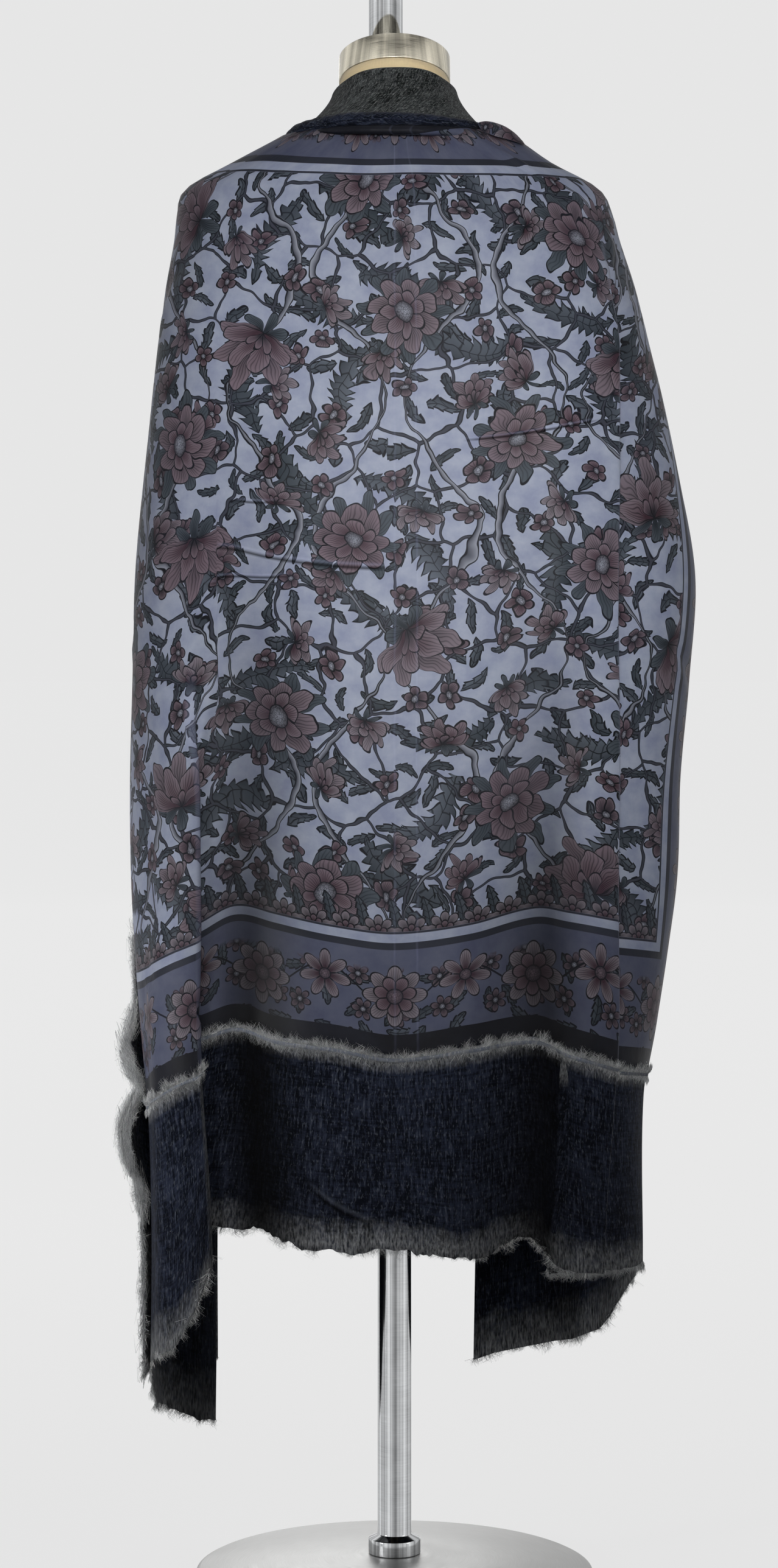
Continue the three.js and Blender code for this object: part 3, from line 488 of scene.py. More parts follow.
def cloth_grid():
    """The wool's outer face: rows run down, columns from the left front edge to the right one."""
    lines = np.concatenate(
        [np.linspace(TOP_LINE, SILK_FOOT, 131), np.linspace(SILK_FOOT, HEM_LINE, 28)[1:]]
    )
    kinds = [("left", place) for place in reversed(half_places(-1))]
    kinds.append(("centre", {"kind": "back", "share": 0.0}))
    kinds += [("right", place) for place in half_places(1)]
    columns = [cloth_column(place, -1 if part == "left" else 1, lines) for part, place in kinds]
    grid = np.stack(columns, axis=1)
    return lines, grid[..., :3], grid[..., 3], kinds


def unit(vectors):
    return vectors / np.maximum(np.linalg.norm(vectors, axis=-1, keepdims=True), 1e-9)


def grid_normals(grid):
    return unit(np.cross(np.gradient(grid, axis=0), np.gradient(grid, axis=1)))


# ---------- Meshes ----------


# Keeps the way across a fibre from lining up with the fibre itself.
SKEW = np.array([0.31, 0.17, 0.05])


def linked(name, bm):
    """A named object of a bmesh, in the scene."""
    mesh = bpy.data.meshes.new(name)
    bm.to_mesh(mesh)
    bm.free()
    piece = bpy.data.objects.new(name, mesh)
    bpy.context.collection.objects.link(piece)
    return piece


def plain_grid(name, rows, columns, apart=False):
    """An object of a flat grid, and the row and column of each vertex.

    apart: with every second column of faces only.
    """
    bm = bmesh.new()
    bmesh.ops.create_grid(bm, x_segments=columns - 1, y_segments=rows - 1, size=1)
    if apart:
        places = [(face, (face.calc_center_median().x + 1) * (columns - 1) / 2 - 0.5) for face in bm.faces]
        bmesh.ops.delete(bm, geom=[face for face, place in places if round(place) % 2], context="FACES_ONLY")
    piece = linked(name, bm)
    flat = np.empty(len(piece.data.vertices) * 3)
    piece.data.vertices.foreach_get("co", flat)
    x, y, _ = flat.reshape(-1, 3).T
    row = rows - 1 - np.rint((y + 1) / 2 * (rows - 1)).astype(int)
    return piece, row, np.rint((x + 1) / 2 * (columns - 1)).astype(int)


def close_ring(mesh):
    """Join a grid's first and last columns and fill its two open ends."""
    bm = bmesh.new()
    bm.from_mesh(mesh)
    bmesh.ops.remove_doubles(bm, verts=bm.verts, dist=1e-6)
    bmesh.ops.holes_fill(bm, edges=bm.edges, sides=0)
    bmesh.ops.recalc_face_normals(bm, faces=bm.faces)
    bm.to_mesh(mesh)
    bm.free()


def grid_object(name, points, uvs=None, ring=False, **marks):
    """A named object on a grid of points in millimetres; rows run down, columns to the right.

    marks: numbers for its points that its material reads, on the same grid.
    """
    piece, row, column = plain_grid(name, *points.shape[:2])
    mesh = piece.data
    mesh.vertices.foreach_set("co", (points[row, column] * MM).ravel())
    layer = mesh.uv_layers.new(name="Cloth")
    if uvs is not None:
        vertex = np.empty(len(mesh.loops), int)
        mesh.loops.foreach_get("vertex_index", vertex)
        layer.data.foreach_set("uv", uvs[row[vertex], column[vertex]].ravel())
    for mark, values in marks.items():
        mesh.attributes.new(mark, "FLOAT", "POINT").data.foreach_set("value", values[row, column])
    if ring:
        close_ring(mesh)
    mesh.polygons.foreach_set("use_smooth", [True] * len(mesh.polygons))
    mesh.update()
    return piece


def strips(name, roots, tips, bends, width, tints):
    """Fibres as one mesh: each a tapering strip of two faces from its root over its bend to its tip."""
    piece, row, column = plain_grid(name, 3, 2 * len(roots), apart=True)
    fibre, side = column // 2, column % 2 * 2 - 1
    along_fibre = tips - roots
    across = unit(np.cross(along_fibre, np.roll(along_fibre, 1, axis=0) + SKEW))
    taper = np.array([0.25, 0.75, 1.0])[row] * width / 2
    co = np.stack([tips, bends, roots])[row, fibre] + across[fibre] * (taper * side)[:, None]
    piece.data.vertices.foreach_set("co", (co * MM).ravel())
    tint = piece.data.attributes.new("tint", "FLOAT", "POINT")
    tint.data.foreach_set("value", tints[fibre])
    piece.data.update()
    return piece


def spin(profile, steps):
    """A bmesh of a profile of radius and height in metres, spun once round the upright axis."""
    bm = bmesh.new()
    points = [bm.verts.new((radius, 0, height)) for radius, height in profile]
    edges = [bm.edges.new(pair) for pair in zip(points, points[1:])]
    round_once = {"cent": (0, 0, 0), "axis": (0, 0, 1), "angle": 2 * math.pi, "use_merge": True}
    bmesh.ops.spin(bm, geom=points + edges, steps=steps, **round_once)
    bmesh.ops.remove_doubles(bm, verts=bm.verts, dist=1e-6)
    bmesh.ops.recalc_face_normals(bm, faces=bm.faces)
    return bm


def thicken(piece, millimetres, offset):
    wall = piece.modifiers.new("Wall", "SOLIDIFY")
    wall.thickness = millimetres * MM
    wall.offset = offset
    return wall


def finish_piece(piece, material, slot, *nodes):
    piece.data.materials.append(material)
    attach(piece, "root")
    if nodes:
        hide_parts(*nodes)
    return piece


# ---------- Shader maths ----------


class Value:
    """A socket that carries a number; arithmetic on it adds Math nodes."""

    def __init__(self, shader, socket):
        self.shader, self.socket = shader, socket

    def op(self, operation, *others, clamp=False):
        inputs = dict(enumerate((self, *others)))
        node = self.shader.node("ShaderNodeMath", {"operation": operation, "use_clamp": clamp}, inputs)
        return Value(self.shader, node.outputs[0])

    def reflected(self, operation, other):
        node = self.shader.node("ShaderNodeMath", {"operation": operation}, {0: other, 1: self})
        return Value(self.shader, node.outputs[0])

    def __add__(self, other):
        return self.op("ADD", other)

    __radd__ = __add__

    def __sub__(self, other):
        return self.op("SUBTRACT", other)

    def __rsub__(self, other):
        return self.reflected("SUBTRACT", other)

    def __mul__(self, other):
        return self.op("MULTIPLY", other)

    __rmul__ = __mul__

    def __truediv__(self, other):
        return self.op("DIVIDE", other)

    def __pow__(self, other):
        return self.op("POWER", other)

    def __abs__(self):
        return self.op("ABSOLUTE")

    def least(self, other):
        return self.op("MINIMUM", other)

    def most(self, other):
        return self.op("MAXIMUM", other)

    def over(self, other):
        return self.op("GREATER_THAN", other)

    def wrap(self, period):
        return self.op("WRAP", period / 2, -period / 2)

    def held(self):
        return self.op("ADD", 0.0, clamp=True)

    def inside(self, soft=0.4):
        """1 where the distance is below 0, with a soft edge."""
        return self.op("MULTIPLY_ADD", -1.0 / soft, 0.5, clamp=True)

    def stroke(self, half, soft=0.4):
        """1 within half of 0, with soft edges."""
        return abs(self).op("MULTIPLY_ADD", -1.0 / soft, 0.5 + half / soft, clamp=True)


class Shader:
    """A material with one Principled shader, built node by node."""

    def __init__(self, name, **constants):
        self.material = bpy.data.materials.new(name)
        self.material.use_nodes = True
        self.tree = self.material.node_tree
        self.tree.nodes.clear()
        output = self.tree.nodes.new("ShaderNodeOutputMaterial")
        self.surface = self.tree.nodes.new("ShaderNodeBsdfPrincipled")
        self.tree.links.new(self.surface.outputs[0], output.inputs["Surface"])
        for key, value in constants.items():
            self.surface.inputs[key.replace("_", " ")].default_value = value

    def node(self, kind, settings=None, inputs=None):
        node = self.tree.nodes.new(kind)
        for key, value in (settings or {}).items():
            if key == "stops":
                ramp = node.color_ramp
                while len(ramp.elements) < len(value):
                    ramp.elements.new(1.0)
                for element, (position, colour) in zip(ramp.elements, value):
                    element.position, element.color = position, (*colour, 1.0)
            else:
                setattr(node, key, value)
        for key, value in (inputs or {}).items():
            socket = node.inputs[key]
            if isinstance(value, Value):
                self.tree.links.new(value.socket, socket)
            elif isinstance(value, tuple) and socket.type == "RGBA" and len(value) == 3:
                socket.default_value = (*value, 1.0)
            else:
                socket.default_value = value
        return node

    def out(self, kind, settings=None, inputs=None, output=0):
        return Value(self, self.node(kind, settings, inputs).outputs[output])

    def feed(self, socket, value):
        self.tree.links.new(value.socket, self.surface.inputs[socket])

    def mix(self, factor, a, b, blend="MIX"):
        settings = {"data_type": "RGBA", "blend_type": blend, "clamp_factor": True}
        return self.out("ShaderNodeMix", settings, {0: factor, 6: a, 7: b}, 2)

    def vector(self, operation, a, b):
        return self.out("ShaderNodeVectorMath", {"operation": operation}, {0: a, 1: b})

    def scaled(self, vector, size):
        return self.out("ShaderNodeVectorMath", {"operation": "SCALE"}, {0: vector, "Scale": size})

    def split(self, vector):
        parts = self.node("ShaderNodeSeparateXYZ", {}, {0: vector})
        return [Value(self, socket) for socket in parts.outputs]

    def join(self, x, y, z=0.0):
        return self.out("ShaderNodeCombineXYZ", {}, {0: x, 1: y, 2: z})

    def cloth_place(self):
        """Millimetres across and down the flat cloth."""
        uv = self.out("ShaderNodeUVMap", {"uv_map": "Cloth"})
        scaled = self.scaled(uv, 1 / MM)
        x, y, _ = self.split(scaled)
        return scaled, x, y

    def own_place(self):
        return self.out("ShaderNodeTexCoord", {}, {}, 3)

    def noise(self, vector, scale, detail=3.0, rough=0.55, stretch=None, output=0):
        if stretch:
            vector = self.vector("MULTIPLY", vector, stretch)
        inputs = {"Vector": vector, "Scale": scale, "Detail": detail, "Roughness": rough}
        return self.out("ShaderNodeTexNoise", {}, inputs, output)

    def mark(self, name):
        """A number that the piece's points carry, 0 where they don't."""
        return self.out("ShaderNodeAttribute", {"attribute_name": name}, {}, 2)

    def shaded(self, colour, dark):
        """The colour darkened to a share of it in the troughs, most at the deepest: painted shade."""
        return self.mix(self.mark("hollow"), colour, (dark, dark, dark), "MULTIPLY")

    def bump(self, height, strength, distance):
        inputs = {"Height": height, "Strength": strength, "Distance": distance}
        self.feed("Normal", self.out("ShaderNodeBump", {}, inputs))


def linear(red, green, blue):
    """A colour given in 0 to 255 steps, as the shader's linear numbers."""
    parts = [c / 255 for c in (red, green, blue)]
    return tuple(c / 12.92 if c <= 0.04045 else ((c + 0.055) / 1.055) ** 2.4 for c in parts)


# ---------- The printed design ----------

INK = linear(10, 10, 14)
GROUND = linear(142, 148, 163)
GROUND_DEEP = linear(120, 126, 148)
# Painted shade: the border's ground keeps this share of the field's colour.
BORDER_PAINTED_SHADE = (0.28, 0.28, 0.33)
LEAF_DARK, LEAF_LIGHT, LEAF_PALE = linear(30, 36, 42), linear(60, 67, 74), linear(82, 88, 98)
PETAL_DARK, PETAL_LIGHT = linear(40, 35, 41), linear(112, 105, 112)
BURGUNDY, BLUSH = linear(56, 36, 44), linear(98, 84, 92)
STEM_DARK, STEM_LIGHT = linear(48, 50, 59), linear(128, 131, 142)
CHARCOAL = linear(34, 36, 44)

HEM_DARK, HEM_LIGHT = linear(9, 9, 13), linear(20, 21, 26)
# Where the hem's band, the border and the stripes end, in from the silk's edge.
HEM_BAND, BORDER_EDGE, FIELD_EDGE = 24.0, 108.0, 126.0
CHARCOAL_STRIPE, LINE_WIDTH = 7.0, 2.2
# How far noise moves the field's motifs about.
WANDER = 34.0

WOOL_DARK, WOOL_LIGHT, WOOL_FLECK = linear(6, 9, 18), linear(36, 41, 56), linear(96, 101, 112)
COLLAR_DARK, COLLAR_LIGHT, COLLAR_FLECK = linear(14, 16, 17), linear(70, 73, 74), linear(168, 170, 168)
# The pale of fuzzy raw edges, also the painted highlight along the wool's fold edge.
FUZZ_AND_HIGHLIGHT_PALE = linear(158, 159, 160)
FRAY_DARK, FRAY_LIGHT, FRAY_PALE = linear(118, 120, 123), linear(228, 229, 229), linear(196, 197, 197)


class Design:
    """Paints motifs over a ground colour. Lengths are millimetres on the flat cloth."""

    def __init__(self, shader, ground):
        self.shader, self.colour, self.only = shader, ground, None

    def paint(self, mask, fill):
        mask = mask if self.only is None else mask * self.only
        self.colour = self.shader.mix(mask, self.colour, fill)

    def ink(self, mask):
        self.paint(mask, INK)

    def leaf(self, q, p, length, width, teeth, tint=0.3, bite=0.3):
        """A toothed leaf: q runs along it from 0 to length, p across it. bite: the depth of its teeth."""
        u = q / length
        body = (u * (1 - u) * 4).most(0.0) ** 0.62
        notch = (u * teeth).op("FRACT")
        half = body * (1 - notch * bite) * width
        edge = abs(p) - half
        mask = edge.inside() * u.over(0.0) * (1 - u).over(0.0)
        vein = ((u * teeth) - abs(p) / width * 0.9).op("FRACT") - 0.5
        lines = p.stroke(0.4).most(vein.stroke(0.07, 0.08) * 0.8).most((edge + 0.7).stroke(0.85))
        tone = (p / width * 0.5 + 0.5).held()
        light = self.shader.mix(tint, LEAF_LIGHT, LEAF_PALE)
        self.paint(mask, self.shader.mix(tone, LEAF_DARK, light))
        self.ink(mask * lines)

    def ring(self, x, y, count, radius, point, dark, light, turn=0.0, fan=None, droop=0.0):
        """A ring of petals round a centre, or a fan of them.

        point: how far the petals' ends draw in. fan: half angle. droop: how much the side ones shorten.
        """
        r = (x * x + y * y) ** 0.5
        a = x.op("ARCTAN2", y)
        step = 2 * math.pi / count
        share = abs((a + turn).wrap(step)) / (step / 2)
        reach = (1 - share * share * point) * radius
        if droop:
            reach = reach * (1 - droop + a.op("COSINE") * droop)
        edge = r - reach
        mask = edge.inside()
        if fan is not None:
            mask = mask * (abs(a) - fan).inside(0.02)
        seam = r * (1 - share) * (step / 2)
        rays = (share * 4.5).op("FRACT") - 0.5
        shade = (r / reach * 1.5 - 0.45).held()
        hatch = rays.stroke(0.15, 0.14) * (1 - shade * 0.7)
        lines = (edge + 0.7).stroke(0.9).most(seam.stroke(0.7)).most(hatch)
        self.paint(mask, self.shader.mix(shade, dark, light))
        self.ink(mask * lines)

    def scatter(self, x, y, cell, jitter):
        """Places round the nearest of scattered centres, each turned its own way, and a number for each."""
        spot = self.shader.join(x * (1 / cell), y * (1 / cell))
        inputs = {"Vector": spot, "Scale": 1.0, "Randomness": jitter}
        cells = self.shader.node("ShaderNodeTexVoronoi", {"voronoi_dimensions": "2D"}, inputs)
        colour, centre = (Value(self.shader, cells.outputs[k]) for k in (1, 2))
        dx, dy, _ = self.shader.split(self.shader.vector("SUBTRACT", spot, centre))
        first, second, _ = self.shader.split(colour)
        angle = first * (2 * math.pi)
        cos, sin = angle.op("COSINE") * cell, angle.op("SINE") * cell
        return dx * cos + dy * sin, dy * cos - dx * sin, second

    def seeds(self, x, y, radius, dark, light):
        r = (x * x + y * y) ** 0.5
        mask = (r - radius).inside()
        dots = self.shader.out(
            "ShaderNodeTexVoronoi",
            {"feature": "DISTANCE_TO_EDGE"},
            {"Vector": self.shader.join(x, y), "Scale": 0.42},
        )
        self.paint(mask, self.shader.mix((r / radius).held(), light, dark))
        self.ink(mask * dots.op("MULTIPLY_ADD", -12.0, 1.0, clamp=True).most((r - radius + 0.5).stroke(0.5)))


def border_design(design, x, e):
    """Rosettes and stars on a waving stem among leaves. x runs along the border, e out of it from 0 to 84."""
    period = 132.0
    cx, cy = x.wrap(period), e - 43
    wave = (x * (2 * math.pi / period)).op("COSINE")
    away = cy + wave * 18
    design.only = (e - 64).inside(6)
    u, v, tint = design.scatter(x + 40, e + 11, 29.0, 0.55)
    design.leaf(u + 13, v - u * u * 0.012, 27, 6, 4, tint)
    u, v, tint = design.scatter(x + 9, e + 71, 41.0, 0.55)
    design.ring(u, v, 6, 12, 0.5, PETAL_DARK, BLUSH)
    design.seeds(u, v, 3.4, PETAL_DARK, STEM_LIGHT)
    design.only = None
    design.ink(away.stroke(1.1))
    design.ring(cx, cy + 5, 8, 31, 0.4, PETAL_DARK, PETAL_LIGHT)
    design.ring(cx, cy + 5, 7, 21, 0.3, BURGUNDY, BLUSH, turn=0.4)
    design.seeds(cx, cy + 5, 8, PETAL_DARK, BLUSH)
    hx = (x + period / 2).wrap(period)
    design.ring(hx, cy - 8, 7, 26, 0.65, BURGUNDY, PETAL_LIGHT)
    design.seeds(hx, cy - 8, 6, PETAL_DARK, BLUSH)


def turned_about(x, y, angle):
    cos, sin = math.cos(angle), math.sin(angle)
    return x * cos + y * sin, y * cos - x * sin


def palmette(design, u, v, size, tint):
    """A flower seen from the side: two fans of pointed petals over a fan of leaves."""
    step = 2 * math.pi / 9
    petal = design.shader.mix(tint, PETAL_LIGHT, BLUSH)
    design.ring(u, v + size * 0.2, 7, size * 0.62, 0.85, LEAF_DARK, LEAF_LIGHT, turn=0.45)
    design.ring(u, v + size * 0.3, 9, size * 1.12, 0.62, PETAL_DARK, petal, fan=step * 2.5, droop=0.25)
    design.ring(u, v + size * 0.3, 8, size * 0.8, 0.42, BURGUNDY, petal, turn=math.pi / 8, fan=math.pi / 2)
    design.ring(u, v + size * 0.3, 9, size * 0.42, 0.35, PETAL_DARK, BLUSH, fan=step * 1.5)


def rosette(design, u, v, size, tint):
    """A round many-petalled flower over pointed leaves."""
    petal = design.shader.mix(tint, BLUSH, PETAL_LIGHT)
    design.ring(u, v, 9, size * 1.3, 0.8, LEAF_DARK, LEAF_LIGHT)
    design.ring(u, v, 8, size, 0.3, PETAL_DARK, petal)
    design.ring(u, v, 7, size * 0.66, 0.3, BURGUNDY, petal, turn=0.35)
    design.seeds(u, v, size * 0.26, PETAL_DARK, STEM_LIGHT)


def field_design(design, x, y):
    """Leaves and long fronds, waving stems over them, and small, middling and large flowers over those."""
    u, v, tint = design.scatter(x, y, 35.0, 0.6)
    design.leaf(u + 16, v - u * u * 0.012, 33, 6.4, 4, tint)
    u, v, tint = design.scatter(*turned_about(x + 411, y + 903, 0.5), 104.0, 0.6)
    design.leaf(u + 50, v - u * u * 0.005 + 5, 98, 15, 11, tint, bite=0.55)
    net = design.shader.out(
        "ShaderNodeTexVoronoi",
        {"voronoi_dimensions": "2D", "feature": "DISTANCE_TO_EDGE"},
        {"Vector": design.shader.join(x, y), "Scale": 1 / 58, "Randomness": 0.85},
    )
    design.paint((net * 58).stroke(1.5), STEM_DARK)
    design.ink((net * 58 - 1.3).stroke(0.4))
    wide, tall = 176.0, 262.0
    ax, ay = x.wrap(wide), y.wrap(tall)
    turn = ay * (2 * math.pi / tall)
    slope = turn.op("SINE") * (0.8 * wide / 4 * 2 * math.pi / tall)
    away = (abs(ax) - (turn.op("COSINE") * 0.8 + 1) * (wide / 4)) / (slope * slope + 1) ** 0.5
    thick = turn.op("COSINE") * 1.2 + 2.5
    stem = (abs(away) - thick).inside()
    design.paint(stem, design.shader.mix((away / 5 + 0.5).held(), STEM_DARK, STEM_LIGHT))
    design.ink(stem * (abs(away) - thick + 0.5).stroke(0.6))
    u, v, tint = design.scatter(x + 77, y + 305, 62.0, 0.7)
    design.ring(u, v, 5, 13, 0.34, design.shader.mix(tint, BURGUNDY, PETAL_DARK), BLUSH)
    design.seeds(u, v, 4, PETAL_DARK, STEM_LIGHT)
    u, v, tint = design.scatter(*turned_about(x + 250, y + 130, 0.9), 96.0, 0.6)
    palmette(design, u, v, 26, tint)
    u, v, tint = design.scatter(*turned_about(x, y, 0.46), 158.0, 0.5)
    design.only = tint.over(0.45)
    palmette(design, u, v, 52, tint)
    design.only = 1 - design.only
    rosette(design, u, v, 38, tint)
    design.only = None


def foot_design(design, x, up):
    """Upright leaves and half rosettes that stand in a row on the field's foot."""
    a = x.wrap(31.0)
    design.leaf(up, a + up * up * 0.006 - 2, 34, 6.5, 5)
    b = (x + 15.5).wrap(31.0)
    design.ring(b, up + 2, 9, 19, 0.3, PETAL_DARK, PETAL_LIGHT)
    design.ring(b, up + 2, 6, 10, 0.3, BURGUNDY, BLUSH)


def silk_colour(shader):
    """The silk's print from its edges inward: plain hem, floral border, two plain stripes and the field."""
    place, x, y = shader.cloth_place()
    warp = shader.noise(place, 0.02, 2.0, output=1)
    drift = shader.scaled(shader.vector("SUBTRACT", warp, (0.5, 0.5, 0.5)), WANDER)
    fx, fy, _ = shader.split(shader.vector("ADD", place, drift))
    from_side = SILK_HALF - abs(x)
    from_end = y.least(silk_tall() - y)
    e = from_side.least(from_end)
    upright = (from_end - from_side).over(0.0)
    run = x + upright * (y - x)
    mottle = shader.noise(place, 0.035, 4.0, 0.6)
    ground = shader.mix((mottle * 3 - 1).held(), GROUND_DEEP, GROUND)
    field = Design(shader, ground)
    field_design(field, fx, fy)
    foot_design(field, x, y - FIELD_EDGE)
    # The border's ground, darkened by painted shade.
    border = Design(shader, shader.mix(1.0, ground, BORDER_PAINTED_SHADE, "MULTIPLY"))
    border_design(border, run, e - HEM_BAND)
    plain = shader.mix((mottle * 2 - 0.5).held(), HEM_DARK, HEM_LIGHT)
    colour = shader.mix(e.over(FIELD_EDGE), ground, field.colour)
    thin_line = (e - (FIELD_EDGE - 1.2)).stroke(LINE_WIDTH / 2)
    charcoal = (e - (BORDER_EDGE + CHARCOAL_STRIPE / 2)).stroke(CHARCOAL_STRIPE / 2)
    colour = shader.mix(e.over(BORDER_EDGE + CHARCOAL_STRIPE), border.colour, colour)
    colour = shader.mix(thin_line.most(charcoal), colour, CHARCOAL)
    return shader.mix(e.over(HEM_BAND), plain, colour), place, x, y


# ---------- Finishes ----------


def pressed_line(x, y, x1, y1, x2, y2, half):
    """1 on a slightly bowed crease between two places of the flat cloth, fading at its ends."""
    size = math.hypot(x2 - x1, y2 - y1)
    cos, sin = (x2 - x1) / size, (y2 - y1) / size
    run = (x - x1) * cos + (y - y1) * sin
    away = (y - y1) * cos - (x - x1) * sin + (run / size * math.pi).op("SINE") * (size * 0.03)
    ends = (run / 18).held() * ((size - run) / 18).held()
    return away.stroke(half, half * 2) * ends


def pressed_lines(x, y, creases):
    """1 in the sharp creases of the flat cloth, and 1 on the raised lips above them."""
    lines = lips = None
    for *ends, half in creases:
        line = pressed_line(x, y, *ends, half)
        lip = pressed_line(x, y - 3 * half, *ends, half)
        lines, lips = (line, lip) if lines is None else (lines.most(line), lips.most(lip))
    return lines, lips


def printed_silk():
    look = bpy.context.scene.shawl_finish
    shader = Shader("printed_silk", Specular_IOR_Level=0.07)
    colour, place, x, y = silk_colour(shader)
    washed = shader.noise(place, 0.012, 3.0, 0.6)
    silk_tone_and_painted_light = shader.mix((washed * 1.6 - 0.55).held() * 0.12, colour, look.silk_pale_cast_and_highlight[:], "SCREEN")
    fine = shader.noise(place, 0.9, 2.0, 0.6, stretch=(1.0, 0.2, 1.0))
    ripple = shader.noise(place, 0.05, 3.0, 0.5, stretch=(1.0, 0.45, 1.0))
    wobble = (washed - 0.5) * 5.0
    broken = (ripple * 3 - 0.9).held()
    press = ((x + wobble).stroke(0.9, 1.6) + (x - 21 + wobble).stroke(0.9, 1.6)) * broken
    lines, above = pressed_lines(x, y, SILK_CREASES)
    # Painted shade: the sharp creases darkened towards ink.
    silk_tone_and_painted_light = shader.mix(lines * 0.8, silk_tone_and_painted_light, tuple(c * 0.25 for c in INK))
    # Painted highlight: paler on the lips above the creases, along the press lines and on the fold's edge.
    bright = (above * 0.4 + press * 0.3 + shader.mark("edge") * 0.5).held()
    silk_tone_and_painted_light = shader.mix(bright, silk_tone_and_painted_light, look.silk_pale_cast_and_highlight[:], "SCREEN")
    # Painted shade: the silk darker in its troughs.
    shader.feed("Base Color", shader.shaded(silk_tone_and_painted_light, 0.14))
    shader.feed("Roughness", fine * 0.16 + 0.4)
    shader.bump(fine * 0.12 + ripple * 1.6 + press * 0.5 + above - lines * 2, look.silk_relief, 0.001)
    return shader.material


def melange_wool(name, dark, light, fleck, hem=None, top=False, flecked=0.7, grain=1.0):
    """Coarse carded wool: two mixed tones with pale upright flecks, paler where a raw edge is fuzzy, and,
    with a hem, darker in its troughs as painted shade.

    hem: how far below the silk's foot the raw hem lies. top: whether the silk's foot is fuzzy too; with it,
    painted shade in the creases and painted highlight on their lips and along the fold's edge.
    """
    shader = Shader(name, Specular_IOR_Level=0.05, Sheen_Weight=0.06, Sheen_Roughness=0.3)
    place, x, y = shader.cloth_place()
    patch = shader.noise(place, 0.018, 4.0, 0.6)
    mix = shader.noise(place, 0.12, 4.0, 0.7, stretch=(1.0, 0.4, 1.0))
    ribs = shader.noise(place, 0.42 * grain, 3.0, 0.6, stretch=(0.12, 1.0, 1.0))
    warp = shader.noise(place, 0.42 * grain, 3.0, 0.75, stretch=(1.0, 0.12, 1.0))
    tone = ((mix * 1.0 + warp * 1.8 + ribs * 1.0 + patch * 0.8 - 2.3) * 2.4 + 0.45).held()
    colour = shader.mix(tone, dark, light)
    specks = shader.noise(place, 0.6 * grain, 2.0, 0.6, stretch=(1.0, 0.3, 1.0))
    flecks = ((specks * 8 - 4.5).held() * 0.6 + (warp * 7 - 4.0).held() * 0.4).held()
    colour = shader.mix(flecks * flecked, colour, fleck)
    if hem is not None:
        uneven = shader.noise(place, 0.06, 3.0, 0.7) * 34
        fuzz = ((y * -1 - (hem - 30) + uneven - 17) / 30).held().most(shader.mark("fuzz"))
        if top:
            fuzz = fuzz.most((y / 15 + 1.25 - uneven * 0.014).held() * ((12 - y) / 6).held() * 1.2)
            lines, lips = pressed_lines(x, y, WOOL_CREASES)
            # Painted shade in the sharp creases, painted highlight on the lips above them.
            colour = shader.mix(lines * 0.9, colour, tuple(c * 0.2 for c in WOOL_DARK))
            colour = shader.mix(lips * 0.25, colour, fleck)
            # Painted highlight: paler along the fold's edge.
            fuzz = fuzz.most(shader.mark("edge") * 0.5)
        curls = (specks * 3 + warp * 2 - 2.0).held()
        colour = shader.mix((fuzz * (curls * 0.7 + 0.1)).held(), colour, FUZZ_AND_HIGHLIGHT_PALE)
        # Painted shade: the wool darker in its troughs.
        colour = shader.shaded(colour, 0.05)
    shader.feed("Base Color", colour)
    shader.feed("Roughness", mix * 0.1 + 0.86)
    shader.bump(ribs * 1.1 + warp * 1.0 + mix * 1.3, 0.75, 0.0011)
    return shader.material


def fibre_material(name, dark, light):
    shader = Shader(name, Specular_IOR_Level=0.2, Sheen_Weight=0.3, Sheen_Roughness=0.5, Roughness=0.85)
    tint = shader.mark("tint")
    along_hair = shader.noise(shader.own_place(), 900.0, 2.0)
    shader.feed("Base Color", shader.mix((tint + along_hair * 0.3 - 0.15).held(), dark, light))
    return shader.material


def linen():
    look = bpy.context.scene.shawl_finish
    shader = Shader("linen", Specular_IOR_Level=0.2, Sheen_Weight=0.2, Sheen_Roughness=0.5)
    place = shader.cloth_place()[0]
    warp = shader.noise(place, 1.1, 2.0, 0.6, stretch=(1.0, 0.12, 1.0))
    weft = shader.noise(place, 1.1, 2.0, 0.6, stretch=(0.12, 1.0, 1.0))
    shader.bump(warp + weft, 0.5, 0.0006)
    cloud = shader.noise(place, 0.02, 3.0)
    tone = (warp * 0.7 + weft * 0.7 + cloud * 0.5 - 0.5).held()
    dark = tuple(c * 0.78 for c in look.linen_colour)
    shader.feed("Base Color", shader.mix(tone, dark, look.linen_colour[:]))
    shader.feed("Roughness", weft * 0.1 + 0.8)
    return shader.material


def metal(name, colour, rough, brushed, banded):
    """Bright metal, brushed round its axis or polished, with upright bands of light and dark painted into its
    colour as reflections.
    """
    shader = Shader(name, Metallic=1.0)
    place = shader.cloth_place()[0]
    lines = shader.noise(place, 1.6, 2.0, 0.6, stretch=(0.02, 1.0, 1.0))
    smudge = shader.noise(place, 0.03, 3.0)
    own_x, own_y, _ = shader.split(shader.own_place())
    about = own_x.op("ARCTAN2", own_y)
    # Painted reflection: upright bands of light and dark by the angle round the axis.
    bands = (shader.noise(shader.join(about, 0.0), 3.4, 3.0, 0.6) * 5 - 2.0).held()
    tone = (lines * 0.4 + smudge * 0.4 + bands * banded + (0.1 - banded * 0.5)).held()
    shader.feed("Base Color", shader.mix(tone, tuple(c * (1 - 0.85 * banded) for c in colour), colour))
    shader.feed("Roughness", (lines - 0.5) * brushed + smudge * 0.05 + rough)
    shader.bump(lines, 0.25 * brushed, 0.0004)
    return shader.material


# ---------- The hanging cloth ----------


